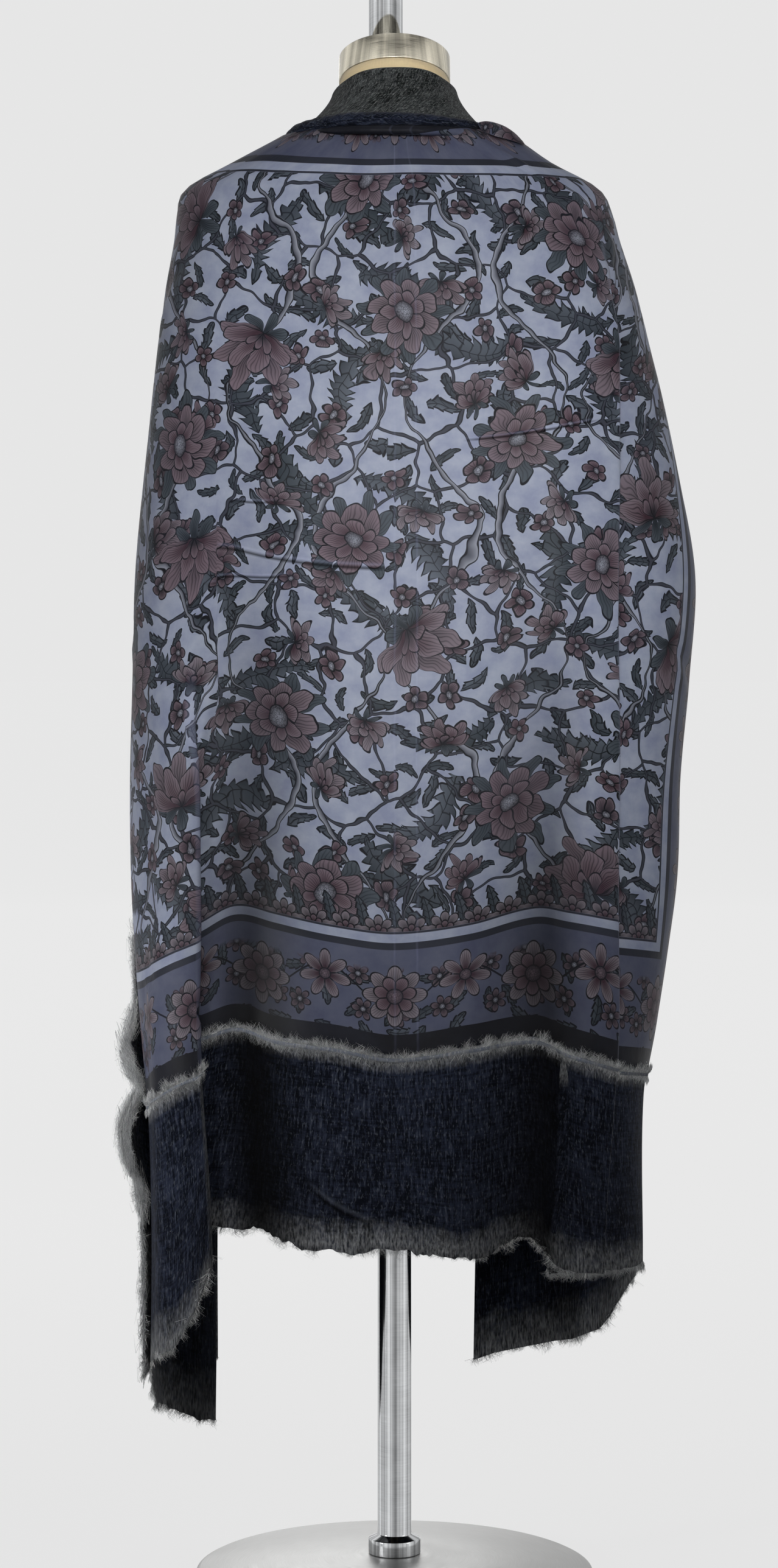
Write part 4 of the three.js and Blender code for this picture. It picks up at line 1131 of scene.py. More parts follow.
def flat_places(lines, grid, kinds):
    """Where each point of the grid lies on the flat cloth, in metres: across, and up from the silk's foot."""
    centre = next(c for c, (part, _) in enumerate(kinds) if part == "centre")
    steps = np.linalg.norm(np.diff(grid, axis=1), axis=-1)
    far = np.concatenate([np.zeros((len(lines), 1)), np.cumsum(steps, axis=1)], axis=1)
    across = far - far[:, centre : centre + 1]
    sides = [c for c, (_, place) in enumerate(kinds) if place["kind"] == "side" and place["share"] == 1]
    for edge, part in ((sides[0], slice(0, centre)), (sides[-1], slice(centre, None))):
        across[:, part] *= SILK_HALF / np.abs(across[:, edge : edge + 1])
    down = np.linalg.norm(np.diff(grid[:, centre], axis=0), axis=-1)
    fallen = np.concatenate([[0], np.cumsum(down)])
    up = np.interp(-SILK_FOOT, -lines, fallen) - fallen
    return np.stack([across, np.repeat(up[:, None], grid.shape[1], axis=1)], axis=-1) * MM, sides


def pressed(grid, flat, lines):
    """The grid with its creases pressed in and a slight unevenness all over."""
    across = flat[..., 0] / MM
    line = np.repeat(lines[:, None], grid.shape[1], axis=1)
    inward = np.zeros(across.shape)
    for x1, z1, x2, z2, depth, width in CREASES:
        dx, dz = x2 - x1, z2 - z1
        size = math.hypot(dx, dz)
        share = ((across - x1) * dx + (line - z1) * dz) / (size * size)
        bow = 0.05 * size * np.sin(np.pi * np.clip(share, 0, 1))
        away = ((across - x1) * dz - (line - z1) * dx) / size + bow
        fade = ease(share, -0.12, 0.15) * ease(share, 1.12, 0.85)
        ridge = np.exp(-2 * ((away - 1.4 * width) / width) ** 2)
        inward += depth * fade * (np.exp(-2 * (away / width) ** 2) - 0.45 * ridge)
    rng = np.random.default_rng(11)
    for _ in range(26):
        angle, phase = rng.uniform(-0.5, 0.5), rng.uniform(0, 2 * math.pi)
        wave = rng.uniform(70, 240)
        run = across * math.cos(angle) + line * math.sin(angle)
        inward += 0.16 * np.sin(2 * math.pi * run / wave + phase)
    calm = ease(line, TOP_LINE, TOP_LINE - 60)
    return grid - grid_normals(grid) * (inward * calm)[..., None]


def ragged(count, seed, size, spans=(9, 4, 2)):
    """A run of seeded uneven numbers, a few long waves and many short ones."""
    rng = np.random.default_rng(seed)
    at = np.arange(count)
    out = np.zeros(count)
    for k, span in enumerate(spans):
        knots = rng.normal(size=count // span + 3)
        out += np.interp(at / span, np.arange(len(knots)), knots) * 0.6**k
    return out * size


def fold_edge(part, place, lines):
    """How near a column's points are to the edge of a fold that shows from behind: 1 on it."""
    shows = place.get("mix", 0.5) > 0.65 if part == "left" else place.get("mix", 0.5) < 0.35
    if not shows:
        return np.zeros_like(lines)
    return min(1.0, abs(place.get("bulge", 0)) / BULGE) * ease(lines, *FOLDS[part]["soften"])


CLOTH = {}


def cloth():
    """The wool's outer face, its place on the flat cloth and its columns, worked out once."""
    if not CLOTH:
        lines, grid, hollow, kinds = cloth_grid()
        flat, sides = flat_places(lines, grid, kinds)
        grid = pressed(grid, flat, lines)
        hem = ragged(grid.shape[1], 5, 2.4, (7, 3, 1))
        fade = ease(lines, HEM_LINE + 14, HEM_LINE)
        grid[..., 2] += fade[:, None] * hem
        edge = np.stack([fold_edge(part, place, lines) for part, place in kinds], axis=1)
        marks = {"hollow": hollow, "edge": edge}
        CLOTH.update(lines=lines, grid=grid, marks=marks, kinds=kinds, flat=flat, sides=sides)
    return CLOTH


def silk_tall():
    """The silk's length from its foot to its top edge, in millimetres."""
    made = cloth()
    return float(np.interp(-FIELD_TOP, -made["lines"], made["flat"][:, 0, 1])) / MM + FIELD_EDGE


def silk_columns():
    sides = cloth()["sides"]
    return slice(sides[0], sides[-1] + 1)


def make_wool(sizes):
    made = cloth()
    piece = grid_object("wool_cloth", made["grid"], made["flat"], **made["marks"])
    thicken(piece, sizes.wool_thickness / MM, -1)
    wool = melange_wool("melange_wool", WOOL_DARK, WOOL_LIGHT, WOOL_FLECK, hem=SILK_FOOT - HEM_LINE, top=True)
    return finish_piece(piece, wool, "wool", "wool_left", "wool_back", "wool_right")


def make_silk(sizes):
    made = cloth()
    rows = int(np.argmin(abs(made["lines"] - SILK_FOOT))) + 1
    part = (slice(0, rows), silk_columns())
    face = made["grid"][part] + grid_normals(made["grid"])[part] * GAP
    marks = {name: values[part] for name, values in made["marks"].items()}
    piece = grid_object("silk_panel", face, made["flat"][part], **marks)
    thicken(piece, sizes.silk_thickness / MM, 1)
    return finish_piece(piece, printed_silk(), "printed_silk", "silk_left", "silk_back", "silk_right")


# ---------- The turned-back left edge ----------


def panel_walk(z):
    """The left panel's outer face cut level at a height, walked from its front edge."""
    made = cloth()
    outer = [c for c, (part, place) in enumerate(made["kinds"]) if part == "left" and place["kind"] != "back"]
    columns = made["grid"][:, outer[:54]]
    x, y = (
        np.array([np.interp(-z, -columns[:, c, 2], columns[:, c, k]) for c in range(columns.shape[1])])
        for k in (0, 1)
    )
    gone = np.concatenate([[0], np.cumsum(np.hypot(np.diff(x), np.diff(y)))])
    tx, ty = np.gradient(x, gone), np.gradient(y, gone)

    def at(distance, out):
        before = np.minimum(distance, 0)
        px, py, ux, uy = (np.interp(distance, gone, values) for values in (x, y, tx, ty))
        size = np.hypot(ux, uy)
        px, py = px + ux / size * before, py + uy / size * before
        return np.stack([px + uy / size * out, py - ux / size * out, np.full_like(px, z)], axis=-1)

    return at


TURN_STAND = GAP + SILK + GAP + WOOL / 2 + 4.6


def turn_back_grid():
    """Rows run down the turned-back edge, columns from its fold at the front to its raw edge."""
    levels = np.linspace(TURN_BACK.values[0][-1], TURN_BACK.values[0][0], 161)
    shares = np.linspace(0, 1, 49)
    uneven = ragged(len(levels), 8, 1.6, (7, 3, 2))
    around = np.linspace(-math.pi / 2, math.pi / 2, 9)[:-1]
    turn_distance = -0.6 - 3.6 * np.cos(around)
    turn_out = (TURN_STAND - WOOL / 2) / 2 + (TURN_STAND + WOOL / 2) / 2 * np.sin(around)
    rows = []
    for z, edge in zip(levels, uneven):
        raw, proud = TURN_BACK.read(z, "raw") + edge, TURN_BACK.read(z, "proud")
        ruffle = 2.6 * math.sin(z / 17) * ease(z, 640, 560) * ease(z, 330, 400)
        out = TURN_STAND + (proud + ruffle) * shares**2 + 0.5 * np.sin(shares * 9 + z / 60) * shares
        distance = np.concatenate([turn_distance, shares * raw])
        rows.append(panel_walk(z)(distance, np.concatenate([turn_out, out])))
    return np.array(rows)


def grid_uv(grid, across=0.0, up=0.0):
    """A grid's own place on flat cloth in metres, measured along its edges."""
    wide = np.linalg.norm(np.diff(grid, axis=1), axis=-1)
    tall = np.linalg.norm(np.diff(grid, axis=0), axis=-1)
    x = np.concatenate([np.zeros((grid.shape[0], 1)), np.cumsum(wide, axis=1)], axis=1)
    y = np.concatenate([np.zeros((1, grid.shape[1])), np.cumsum(tall, axis=0)], axis=0)
    return np.stack([x + across, up - y], axis=-1) * MM


def make_turn_back(sizes):
    grid = turn_back_grid()
    shares = np.linspace(0, 1, grid.shape[1])
    fuzz = np.repeat(ease(shares, 0.84, 0.98)[None, :], grid.shape[0], axis=0)
    piece = grid_object("wool_turned_edge", grid, grid_uv(grid), fuzz=fuzz)
    thicken(piece, sizes.wool_thickness / MM, 0)
    wool = melange_wool("turned_wool", WOOL_DARK, WOOL_LIGHT, WOOL_FLECK, hem=880)
    return finish_piece(piece, wool, "wool", "wool_turn_back")


# ---------- The collar and the rolls under it ----------


def neck_point(turn, off, z):
    """A point round the leaning neck, off its surface; turn in degrees from the centre back."""
    angle = np.radians(turn)
    lean = (z - CAP_FOOT - CAP_HEIGHT) * math.tan(NECK_TILT)
    deep = NECK_RADIUS / math.cos(NECK_TILT) + off
    x, y = (NECK_RADIUS + off) * np.sin(angle), lean - deep * np.cos(angle)
    return np.stack(np.broadcast_arrays(x, y, z), axis=-1)


def collar_grid():
    """Rows run from the collar's outer foot over its folded top and down inside; columns go round."""
    turns = np.linspace(-150, 150, 151)
    top, foot, flare = (COLLAR.read(turns, name) for name in ("top", "foot", "flare"))
    inner, width = 2.2, 4.4
    height = top - foot
    wave = 0.7 * np.sin(np.radians(turns) * 7 + 0.6) + 0.4 * np.sin(np.radians(turns) * 17)
    rows = []
    for share in np.linspace(0, 0.93, 26):
        off = inner + width + (flare - width - inner) * (1 - share) ** 1.6
        rows.append(neck_point(turns, off + wave * (1 - share), foot + share * height))
    for angle in np.linspace(0, math.pi, 9)[1:-1]:
        off = inner + width / 2 + width / 2 * math.cos(angle)
        rows.append(neck_point(turns, off, foot + 0.93 * height + math.sin(angle) * 0.07 * height))
    for share in np.linspace(0.93, 0.32, 14):
        rows.append(neck_point(turns, inner, foot + share * height))
    return np.array(rows)[::-1]


def roll_grid(table, steps=90, sides=28, puckers=0.0, seed=3):
    """A roll of cloth round the neck: rows run along it, columns round its oval section."""
    turns = np.linspace(table.values[0][0], table.values[0][-1], steps)[:, None]
    angle = np.linspace(0, 2 * math.pi, sides + 1)[None, :]
    off, z, high, deep = (table.read(turns, name) for name in ("off", "z", "high", "deep"))
    ends = ease(abs(turns - turns.mean()), np.ptp(turns) / 2, np.ptp(turns) / 2 - 9)
    size = (0.25 + 0.75 * ends) * (
        1 + puckers * np.sin(turns * 0.31 + seed) * np.cos(angle - 0.6) + puckers * 0.6 * np.sin(turns * 0.73)
    )
    return neck_point(turns, off + size * deep * np.cos(angle), z - size * high * np.sin(angle))


def shoulder_height(x, y):
    """The height of the shoulder's cloth above points of its right back quarter."""
    low, high = np.full_like(x, 1420.0), np.full_like(x, 1500.0)
    for _ in range(24):
        z = (low + high) / 2
        side, back, right, corner = (SECTIONS.read(z, name) for name in ("side", "back", "right", "corner"))
        deep = np.maximum(side - y, 0) / (side - back)
        inside = (x / right) ** corner + deep**corner < 1
        low, high = np.where(inside, z, low), np.where(inside, high, z)
    return low


def shoulder_grid(steps=70, sides=28):
    x = np.linspace(SHOULDER_FOLD.values[0][0], SHOULDER_FOLD.values[0][-1], steps)[:, None]
    angle = np.linspace(0, 2 * math.pi, sides + 1)[None, :]
    y, high, deep = (SHOULDER_FOLD.read(x, name) for name in ("y", "high", "deep"))
    run = np.array([x[-1, 0] - x[0, 0], y[-1, 0] - y[0, 0]])
    across = np.array([-run[1], run[0]]) / np.hypot(*run)
    px, py = x + across[0] * deep * np.cos(angle), y + across[1] * deep * np.cos(angle)
    pz = shoulder_height(px, py) + 2.5 + high * (1 + np.sin(angle))
    return np.stack([px, py, pz], axis=-1)


def make_collar(sizes):
    grid = collar_grid()
    piece = grid_object("wool_collar_fold", grid, grid_uv(grid))
    thicken(piece, sizes.wool_thickness / MM, 0)
    wool = melange_wool("collar_wool", COLLAR_DARK, COLLAR_LIGHT, COLLAR_FLECK, flecked=0.8, grain=2.2)
    finish_piece(piece, wool, "collar_wool", "wool_collar")


def roll_uv(grid, across, edges):
    """A roll's place on the silk in metres: along it from across, its girth between two edge distances."""
    gone = np.cumsum(np.linalg.norm(np.diff(grid, axis=0, prepend=grid[:1]), axis=-1), axis=0)
    girth = np.cumsum(np.linalg.norm(np.diff(grid, axis=1, prepend=grid[:, :1]), axis=-1), axis=1)
    girth = np.where(np.arange(grid.shape[1]) > grid.shape[1] // 2, girth - girth[:, -1:], girth)
    edge = np.linspace(*edges, grid.shape[0])[:, None] + girth
    return np.stack([across + gone, silk_tall() - edge], axis=-1) * MM


def make_rolls(silk):
    rolled = roll_grid(NECK_ROLL, puckers=0.06)
    neck = grid_object("wool_neck_bulge", rolled, grid_uv(rolled), ring=True)
    wool = melange_wool("rolled_wool", WOOL_DARK, WOOL_LIGHT, WOOL_FLECK)
    finish_piece(neck, wool, "wool", "wool_neck_roll")
    rolled = roll_grid(HEM_ROLL, puckers=0.05, seed=1)
    hem = grid_object("silk_hem_bulge", rolled, roll_uv(rolled, -90, (-4, 34)), ring=True)
    finish_piece(hem, silk, "hem_silk", "silk_hem_roll")
    folded = shoulder_grid()
    bunch = grid_object("silk_shoulder_bunch", folded, roll_uv(folded, 90, (30, 50)), ring=True)
    finish_piece(bunch, silk, "hem_silk", "silk_shoulder_fold")


# ---------- Frayed edges ----------


# The fibres of each raw edge, lengths in millimetres. lean: how far they stand off the cloth. spread: how
# far they sway along the edge. tufts: the shares of their length that tufts reach, one each gap.
FRINGES = {
    "wool_fringe": {
        "count": 13000, "seed": 31, "width": 0.42, "lean": (0.0, 0.3), "spread": 0.6, "tufts": (0.15, 1.35),
    },
    "wool_fringe_foot": {
        "count": 9000, "seed": 35, "reach": (3, 10), "width": 0.34, "lean": (0.0, 0.16), "spread": 0.6,
    },
    "wool_hem_fuzz": {
        "count": 11000, "seed": 32, "reach": (4, 10), "width": 0.36, "lean": (-0.35, 0.35), "spread": 0.5,
        "tufts": (0.0, 1.6), "gap": 5, "curled": 0.5,
    },
    "turned_edge_fuzz": {
        "count": 9000, "seed": 33, "reach": (5, 14), "width": 0.42, "lean": (-0.7, 0.7), "spread": 0.9,
        "tufts": (0.1, 1.5), "gap": 6, "curled": 0.6,
    },
    "turned_edge_fluff": {
        "count": 15000, "seed": 36, "reach": (4, 13), "width": 0.5, "lean": (-1.0, 1.0), "spread": 1.2,
        "tufts": (0.0, 1.7), "gap": 7, "curled": 0.7,
    },
    "turned_hem_fuzz": {
        "count": 1500, "seed": 34, "reach": (3, 8), "width": 0.3, "lean": (-0.4, 0.4), "spread": 0.5,
    },
}
# The shortest fibre of the upper edge, as a share of the longest.
SHORTEST = 0.45


def fringe(
    name, path, ups, outs, count, seed, reach, width, lean, spread, tufts=(0.55, 1.15), gap=3.5, curled=0.3
):
    """Fibres along a path: ups and outs give the way they stand and the way off the cloth."""
    rng = np.random.default_rng(seed)
    gone = np.concatenate([[0], np.cumsum(np.linalg.norm(np.diff(path, axis=0), axis=1))])
    at = np.sort(rng.uniform(0, gone[-1], count))

    def read(values):
        return np.stack([np.interp(at, gone, values[:, k]) for k in range(3)], axis=1)

    root, up, out = read(path), read(ups), read(outs)
    side = np.cross(up, out)
    spots = np.arange(0, gone[-1] + 3 * gap, gap)
    clump = np.interp(at, spots, rng.uniform(*tufts, len(spots)))
    length = (rng.uniform(reach[0], reach[1], count) * clump)[:, None]
    sway = (rng.normal(0, spread, count) + 0.3 * np.sin(at / 4.1))[:, None]
    off = rng.uniform(*lean, count)[:, None]
    way = up + side * sway + out * off
    way /= np.linalg.norm(way, axis=1, keepdims=True)
    curl = side * rng.normal(0, curled, (count, 1)) + out * rng.uniform(0, 0.2, (count, 1))
    tips = root + way * length
    bends = root + way * length * 0.55 + curl * length
    return strips(name, root, tips, bends, width, rng.uniform(0, 1, count))


def make_raw_edges(sizes):
    """The wool's raw upper edge over the silk's foot, and the fuzz of its hem and turned-back edge."""
    made = cloth()
    grid, lines = made["grid"], made["lines"]
    normals = grid_normals(grid)
    foot = int(np.argmin(abs(lines - SILK_FOOT)))
    part = silk_columns()
    ups = unit(grid[foot - 1, part] - grid[foot, part])
    outs = normals[foot, part]
    face = GAP + SILK
    uneven = ragged(ups.shape[0], 21, 0.8, (6, 3, 2))[:, None]
    base = grid[foot, part] + outs * face
    band = np.stack([base + ups * (3.2 + uneven) + outs * 0.1, base - ups * 3.5 + outs * 0.2], axis=0)
    selvage = grid_object("wool_raw_edge", band, grid_uv(band))
    thicken(selvage, 0.7, 1)
    raw = fibre_material("raw_wool_fibre", FRAY_DARK, FRAY_LIGHT)
    pale = melange_wool("raw_edge_wool", WOOL_FLECK, FRAY_DARK, FRAY_PALE)
    finish_piece(selvage, pale, "wool", "wool_fray_left", "wool_fray_back", "wool_fray_right")
    longest = sizes.fringe_length / MM
    hem_down = unit(grid[-1] - grid[-2])
    hem = grid[-1] - normals[-1] * WOOL / 2 - hem_down * 1.5
    turned = turn_back_grid()
    edge = turned[:, -1]
    edge_out = unit(edge - turned[:, -2])
    edge_off = unit(np.cross(np.gradient(edge, axis=0), edge_out))
    ruffle = slice(*(np.argmin(abs(edge[:, 2] - height)) for height in RUFFLE))
    down = unit(turned[-1] - turned[-2])
    down_off = unit(np.cross(down, np.gradient(turned[-1], axis=0)))
    paths = {
        "wool_fringe": (base + outs * 0.7 + ups * 0.5, ups, outs),
        "wool_fringe_foot": (base - ups * 2 + outs * 0.5, -ups, outs),
        "wool_hem_fuzz": (hem, hem_down, normals[-1]),
        "turned_edge_fuzz": (edge - edge_out, edge_out, edge_off),
        "turned_edge_fluff": (edge[ruffle] - edge_out[ruffle] * 3, edge_out[ruffle], edge_off[ruffle]),
        "turned_hem_fuzz": (turned[-1] - down, down, down_off),
    }
    for name, along_edge in paths.items():
        shape = {"reach": (SHORTEST * longest, longest), **FRINGES[name]}
        finish_piece(fringe(name, *along_edge, **shape), raw, "wool")


# ---------- The dress form and its stand ----------


def form_grid():
    """Rows run down the torso and neck, columns go round it."""
    sides = 96
    turn = np.linspace(0, 2 * math.pi, sides + 1)
    heights, rings = [], []
    for z, half, back, front, corner in FORM.values.T:
        cos, sin = (np.sign(v) * np.abs(v) ** (2 / corner) for v in (np.cos(turn), np.sin(turn)))
        heights.append(z)
        rings.append([half * cos, (back + front) / 2 + (front - back) / 2 * sin, np.full_like(turn, z)])
    for height, radius in ((1494, NECK_RADIUS + 1), (1510, NECK_RADIUS), (CAP_FOOT - GAP, NECK_RADIUS)):
        lean = (height - CAP_FOOT - CAP_HEIGHT) * math.tan(NECK_TILT)
        across, deep = radius * np.cos(turn), radius * np.sin(turn)
        heights.append(height)
        rings.append([across, lean + deep * math.cos(NECK_TILT), height - deep * math.sin(NECK_TILT)])
    flat = np.array(rings).reshape(len(heights), -1)
    rows = []
    for height in np.linspace(heights[-1], heights[0], 150):
        values = smooth_read(heights, flat, np.full(flat.shape[1], height))
        rows.append(values.reshape(3, -1).T)
    return np.array(rows)


def make_form():
    grid = form_grid()
    seam = np.exp(-((np.arange(grid.shape[1]) - 72) / 0.7) ** 2)
    away = grid - grid.mean(axis=1, keepdims=True)
    away[..., 2] = 0
    grid = grid + unit(away) * (seam * 0.5)[None, :, None]
    piece = grid_object("linen_form", grid, grid_uv(grid), ring=True)
    return finish_piece(piece, linen(), "linen", "form_body")


# The least angle of an edge that is bevelled.
SHARP = math.radians(25)


def spun(name, profile, steps, bevel, place=None):
    """A turned piece: the profile of radius and height in millimetres, spun round the upright axis."""
    bm = spin([(radius * MM, height * MM) for radius, height in profile], steps)
    sharp = [e for e in bm.edges if len(e.link_faces) == 2 and e.calc_face_angle() > SHARP]
    rounding = {"segments": 3, "profile": 0.5, "material": -1, "affect": "EDGES", "clamp_overlap": True}
    bmesh.ops.bevel(bm, geom=sharp, offset=bevel * MM, **rounding)
    layer = bm.loops.layers.uv.new("Cloth")
    for face in bm.faces:
        middle = face.calc_center_median()
        about = math.atan2(middle.y, middle.x)
        size = math.hypot(middle.x, middle.y)
        for loop in face.loops:
            co = loop.vert.co
            turn = math.remainder(math.atan2(co.y, co.x) - about, 2 * math.pi) + about
            loop[layer].uv = (turn * size, co.z + math.hypot(co.x, co.y))
        face.smooth = True
    if place is not None:
        bmesh.ops.transform(bm, matrix=place, verts=bm.verts)
    return linked(name, bm)


def make_stand():
    # The cap and the chrome carry painted reflection bands; the satin base has none.
    steel = metal("brushed_steel", linear(240, 233, 214), 0.3, 0.5, 0.8)
    chrome = metal("chrome", linear(236, 238, 240), 0.08, 0.1, 0.9)
    foot_lean = -CAP_HEIGHT * math.tan(NECK_TILT)
    leaning = Matrix.Translation((0, foot_lean * MM, CAP_FOOT * MM)) @ Matrix.Rotation(-NECK_TILT, 4, "X")
    radius = NECK_RADIUS + 0.5
    cap = [(0, GAP), (radius - 4, GAP), (radius, GAP)]
    cap += [(radius, CAP_HEIGHT), (radius - 7, CAP_HEIGHT), (0, CAP_HEIGHT)]
    finish_piece(spun("steel_cap", cap, 120, 1.1, leaning), steel, "brushed_steel", "neck_cap")
    cap_top = CAP_FOOT + CAP_HEIGHT * math.cos(NECK_TILT)
    lean = (cap_top - CAP_FOOT - CAP_HEIGHT) * math.tan(NECK_TILT)
    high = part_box("column_head")[1].z / MM
    pole = [(0, cap_top), (COLUMN_RADIUS, cap_top)]
    pole += [(COLUMN_RADIUS, high - 5), (COLUMN_RADIUS - 5, high), (0, high)]
    piece = spun("chrome_pole", pole, 96, 1.5, Matrix.Translation((COLUMN_X * MM, 0, 0)))
    for vertex in piece.data.vertices:
        if vertex.co.z < (cap_top + 5) * MM:
            vertex.co.z = (cap_top + GAP) * MM - (vertex.co.y - lean * MM) * math.tan(NECK_TILT)
    finish_piece(piece, chrome, "chrome", "column_head")
    satin = metal("satin_steel", linear(176, 176, 175), 0.42, 0.3, 0.0)
    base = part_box("base_plate")[1]
    rim, tall = base.x / MM, base.z / MM
    plate = [(0, 0), (rim, 0), (rim, 9), (rim - 4, 11), (80, tall - 5), (40, tall - 1), (34, tall), (0, tall)]
    finish_piece(spun("steel_base", plate, 160, 1.0), satin, "brushed_steel", "base_plate")
    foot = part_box("form_body")[0].z / MM
    shaft = [(0, tall + GAP), (27, tall + GAP), (27, tall + 16), (COLUMN_RADIUS, tall + 20)]
    shaft += [(COLUMN_RADIUS, foot - 30), (26, foot - 14), (60, foot - 8), (60, foot - GAP), (0, foot - GAP)]
    finish_piece(spun("chrome_column", shaft, 96, 1.2), chrome, "chrome", "column")


# ---------- The studio ----------


def area_light(name, place, aim, size, power, spread):
    """A soft rectangular light. spread: the full angle of its beam in degrees."""
    data = bpy.data.lights.new(name, "AREA")
    data.shape, data.size, data.size_y = "RECTANGLE", size[0], size[1]
    data.energy, data.spread = power, math.radians(spread)
    light = bpy.data.objects.new(name, data)
    light.location = place
    light.rotation_mode = "QUATERNION"
    light.rotation_quaternion = (Vector(aim) - Vector(place)).to_track_quat("-Z", "Y")
    light.visible_camera = False
    bpy.context.collection.objects.link(light)


# How much of its colour the floor glows with and reflects near the stand. Far away it only glows.
NEAR_GLOW, NEAR_BASE = 0.92, 0.2

# name, place, aim, size, share of the studio's light power, full angle of the beam
LIGHTS = (
    ("key_light", (0.05, -2.5, 1.35), (0, 0, 1.14), (0.7, 0.7), 0.9, 34),
    ("top_light", (0, -0.4, 3.4), (0, 0, 1), (1.6, 1.6), 2.5, 180),
    ("left_light", (-2.6, -1.2, 1.5), (0, 0, 1.0), (0.8, 1.6), 1, 180),
    ("right_light", (2.6, -1.2, 1.5), (0, 0, 1.0), (0.8, 1.6), 1, 180),
    ("left_kicker", (-1.9, -1.1, 0.6), (-0.27, 0, 0.5), (0.4, 0.4), 0.3, 30),
    ("right_kicker", (1.9, -1.1, 0.6), (0.27, 0, 0.5), (0.4, 0.4), 0.04, 36),
    ("far_light", (-0.3, 3.2, 1.6), (0, 0, 1.0), (1.4, 1.4), 4, 180),
)


def make_camera(studio):
    data = bpy.data.cameras.new("camera")
    data.sensor_width, data.lens = 36, 36 * studio.camera_distance / FRAME_TALL
    data.shift_y = (FRAME_MIDDLE - studio.camera_height) / FRAME_TALL
    data.clip_end = 100
    camera = bpy.data.objects.new("camera", data)
    camera.location = (CAMERA_X, -studio.camera_distance, studio.camera_height)
    camera.rotation_euler = (math.pi / 2, 0, 0)
    bpy.context.collection.objects.link(camera)
    bpy.context.scene.camera = camera


def make_backdrop(studio):
    """A pale floor that rises into a round wall far behind the object."""
    path = [(0.0, 0.0), (1.2, 0.0), (2.5, 0.0), (6.0, 0.0)]
    path += [(12 + 3 * math.sin(a), 3 - 3 * math.cos(a)) for a in np.linspace(0, math.pi / 2, 12)]
    path.append((15.0, 14.0))
    bm = spin(path, 64)
    for face in bm.faces:
        face.smooth = True
        if face.calc_center_median().z < 1 and face.normal.z < 0:
            face.normal_flip()
    floor = linked("floor", bm)
    shader = Shader("pale_floor", Roughness=0.9, Specular_IOR_Level=0.1, Emission_Strength=1.0)
    x, y, _ = shader.split(shader.own_place())
    far = (((x * x + y * y) ** 0.5 - 0.5) / 3.0).held()
    near_glow = tuple(c * NEAR_GLOW for c in studio.floor_colour)
    near_base = tuple(c * NEAR_BASE for c in studio.floor_colour)
    shader.feed("Base Color", shader.mix(far, near_base, (0, 0, 0)))
    shader.feed("Emission Color", shader.mix(far, near_glow, studio.floor_colour[:]))
    floor.data.materials.append(shader.material)
    floor.visible_diffuse = floor.visible_shadow = False


def make_lights(studio):
    world = bpy.data.worlds.new("studio_air")
    world.use_nodes = True
    background = world.node_tree.nodes["Background"]
    background.inputs[0].default_value = (0.95, 0.97, 1.0, 1.0)
    background.inputs[1].default_value = studio.air
    bpy.context.scene.world = world
    for name, place, aim, size, share, spread in LIGHTS:
        area_light(name, place, aim, size, studio.light_power * share, spread)
    bpy.context.scene.view_settings.view_transform = "Standard"


# ---------- Add-on ----------


class ShawlSizes(bpy.types.PropertyGroup):
    wool_thickness: bpy.props.FloatProperty(
        name="Wool thickness", description="Thickness of the woollen cloth", default=WOOL * MM, unit="LENGTH"
    )
    silk_thickness: bpy.props.FloatProperty(
        name="Silk thickness", description="Thickness of the silk panel", default=0.8 * MM, unit="LENGTH"
    )
    fringe_length: bpy.props.FloatProperty(
        name="Fringe length",
        description="Longest fibre of the wool's raw upper edge",
        default=11 * MM,
        unit="LENGTH",
    )


class ShawlFinish(bpy.types.PropertyGroup):
    # Random pale cast on the silk, and the colour of its painted highlights on crease lips, press lines and
    # the fold's edge.
    silk_pale_cast_and_highlight: bpy.props.FloatVectorProperty(
        name="Silk bloom", description="Pale cast on the silk", default=linear(92, 96, 118), subtype="COLOR"
    )
    silk_relief: bpy.props.FloatProperty(
        name="Silk relief", description="Strength of the silk's fine relief", default=0.6, subtype="FACTOR"
    )
    linen_colour: bpy.props.FloatVectorProperty(
        name="Linen colour",
        description="Cover of the dress form",
        default=linear(246, 222, 176),
        subtype="COLOR",
    )


class ShawlStudio(bpy.types.PropertyGroup):
    camera_distance: bpy.props.FloatProperty(
        name="Camera distance", description="From the shawl's middle", default=3.5, unit="LENGTH"
    )
    camera_height: bpy.props.FloatProperty(
        name="Camera height", description="Above the floor", default=0.9, unit="LENGTH"
    )
    floor_colour: bpy.props.FloatVectorProperty(
        name="Floor colour", description="Floor and wall", default=(0.79, 0.79, 0.79), subtype="COLOR"
    )
    air: bpy.props.FloatProperty(name="Air", description="Strength of the even light", default=0.07)
    light_power: bpy.props.FloatProperty(
        name="Light power", description="Power of the main soft light", default=3.3, unit="POWER"
    )


class SHAWL_OT_studio(bpy.types.Operator):
    """Make the camera, the pale floor and the soft lights"""

    bl_idname = "shawl.studio"
    bl_label = "Studio"

    def execute(self, context):
        studio = context.scene.shawl_studio
        make_camera(studio)
        make_backdrop(studio)
        make_lights(studio)
        return {"FINISHED"}


class SHAWL_OT_dress_form(bpy.types.Operator):
    """Make the linen dress form that the cloth rests on"""

    bl_idname = "shawl.dress_form"
    bl_label = "Dress form"

    def execute(self, context):
        make_form()
        return {"FINISHED"}


class SHAWL_OT_stand(bpy.types.Operator):
    """Make the steel neck cap, the chrome column and the base"""

    bl_idname = "shawl.stand"
    bl_label = "Stand"

    def execute(self, context):
        make_stand()
        return {"FINISHED"}


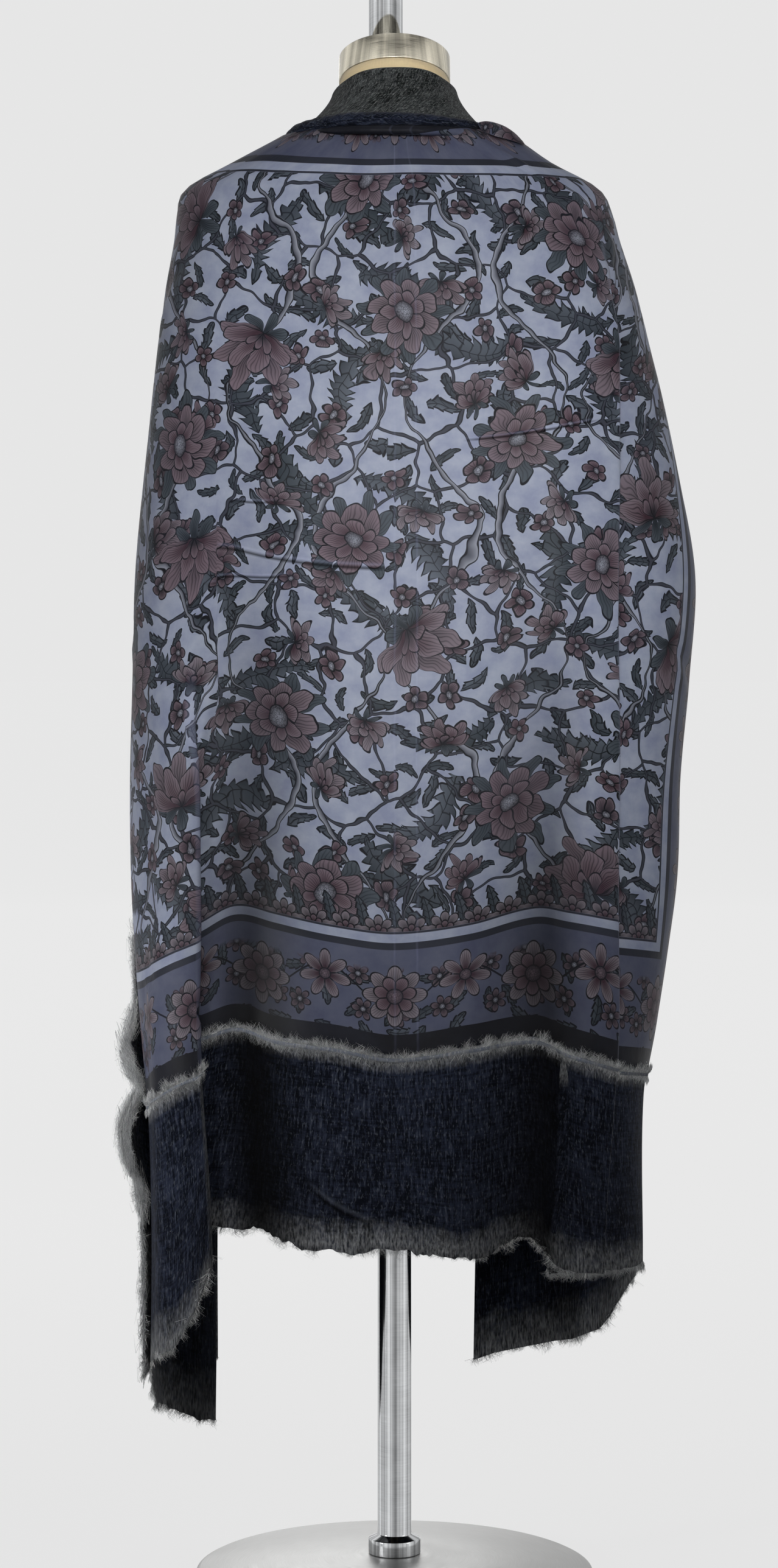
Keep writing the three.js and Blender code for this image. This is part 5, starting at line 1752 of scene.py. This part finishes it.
class SHAWL_OT_wool(bpy.types.Operator):
    """Drape the woollen square with its two long folds, and turn its left front edge back"""

    bl_idname = "shawl.wool"
    bl_label = "Wool"

    def execute(self, context):
        make_wool(context.scene.shawl_sizes)
        make_turn_back(context.scene.shawl_sizes)
        return {"FINISHED"}


class SHAWL_OT_silk(bpy.types.Operator):
    """Lay the printed silk on the wool"""

    bl_idname = "shawl.silk"
    bl_label = "Silk"

    def execute(self, context):
        make_silk(context.scene.shawl_sizes)
        return {"FINISHED"}


class SHAWL_OT_collar(bpy.types.Operator):
    """Fold the collar and roll the wool and the silk under it"""

    bl_idname = "shawl.collar"
    bl_label = "Collar and rolls"

    def execute(self, context):
        make_collar(context.scene.shawl_sizes)
        make_rolls(bpy.data.objects["silk_panel"].data.materials[0])
        return {"FINISHED"}


class SHAWL_OT_raw_edges(bpy.types.Operator):
    """Fray the wool's upper edge, its hem and its turned edge"""

    bl_idname = "shawl.raw_edges"
    bl_label = "Raw edges"

    def execute(self, context):
        make_raw_edges(context.scene.shawl_sizes)
        return {"FINISHED"}


class SHAWL_OT_declare_cloths(bpy.types.Operator):
    """A last step, which does nothing"""

    bl_idname = "shawl.declare_cloths"
    bl_label = "Declare the cloths"

    def execute(self, context):
        return {"FINISHED"}


class SHAWL_PT_panel(bpy.types.Panel):
    """The shawl's sizes, finishes and steps"""

    bl_idname = "SHAWL_PT_panel"
    bl_label = "Foulard shawl"
    bl_space_type = "VIEW_3D"
    bl_region_type = "UI"
    bl_category = "Shawl"

    def draw(self, context):
        scene = context.scene
        for group in (scene.shawl_sizes, scene.shawl_finish, scene.shawl_studio):
            box = self.layout.box()
            for name in group.__annotations__:
                box.prop(group, name)
        for step in STEPS:
            self.layout.operator(step.bl_idname)


STEPS = (
    SHAWL_OT_studio,
    SHAWL_OT_dress_form,
    SHAWL_OT_stand,
    SHAWL_OT_wool,
    SHAWL_OT_silk,
    SHAWL_OT_collar,
    SHAWL_OT_raw_edges,
    SHAWL_OT_declare_cloths,
)
GROUPS = {"shawl_sizes": ShawlSizes, "shawl_finish": ShawlFinish, "shawl_studio": ShawlStudio}


def register():
    for group in GROUPS.values():
        bpy.utils.register_class(group)
    for name, group in GROUPS.items():
        setattr(bpy.types.Scene, name, bpy.props.PointerProperty(type=group))
    for made in (*STEPS, SHAWL_PT_panel):
        bpy.utils.register_class(made)


def unregister():
    for made in (SHAWL_PT_panel, *reversed(STEPS)):
        bpy.utils.unregister_class(made)
    for name, group in GROUPS.items():
        delattr(bpy.types.Scene, name)
        bpy.utils.unregister_class(group)


def main():
    register()
    bpy.ops.shawl.studio()
    bpy.ops.shawl.dress_form()
    bpy.ops.shawl.stand()
    bpy.ops.shawl.wool()
    bpy.ops.shawl.silk()
    bpy.ops.shawl.collar()
    bpy.ops.shawl.raw_edges()
    bpy.ops.shawl.declare_cloths()


if __name__ == "__main__":
    main()
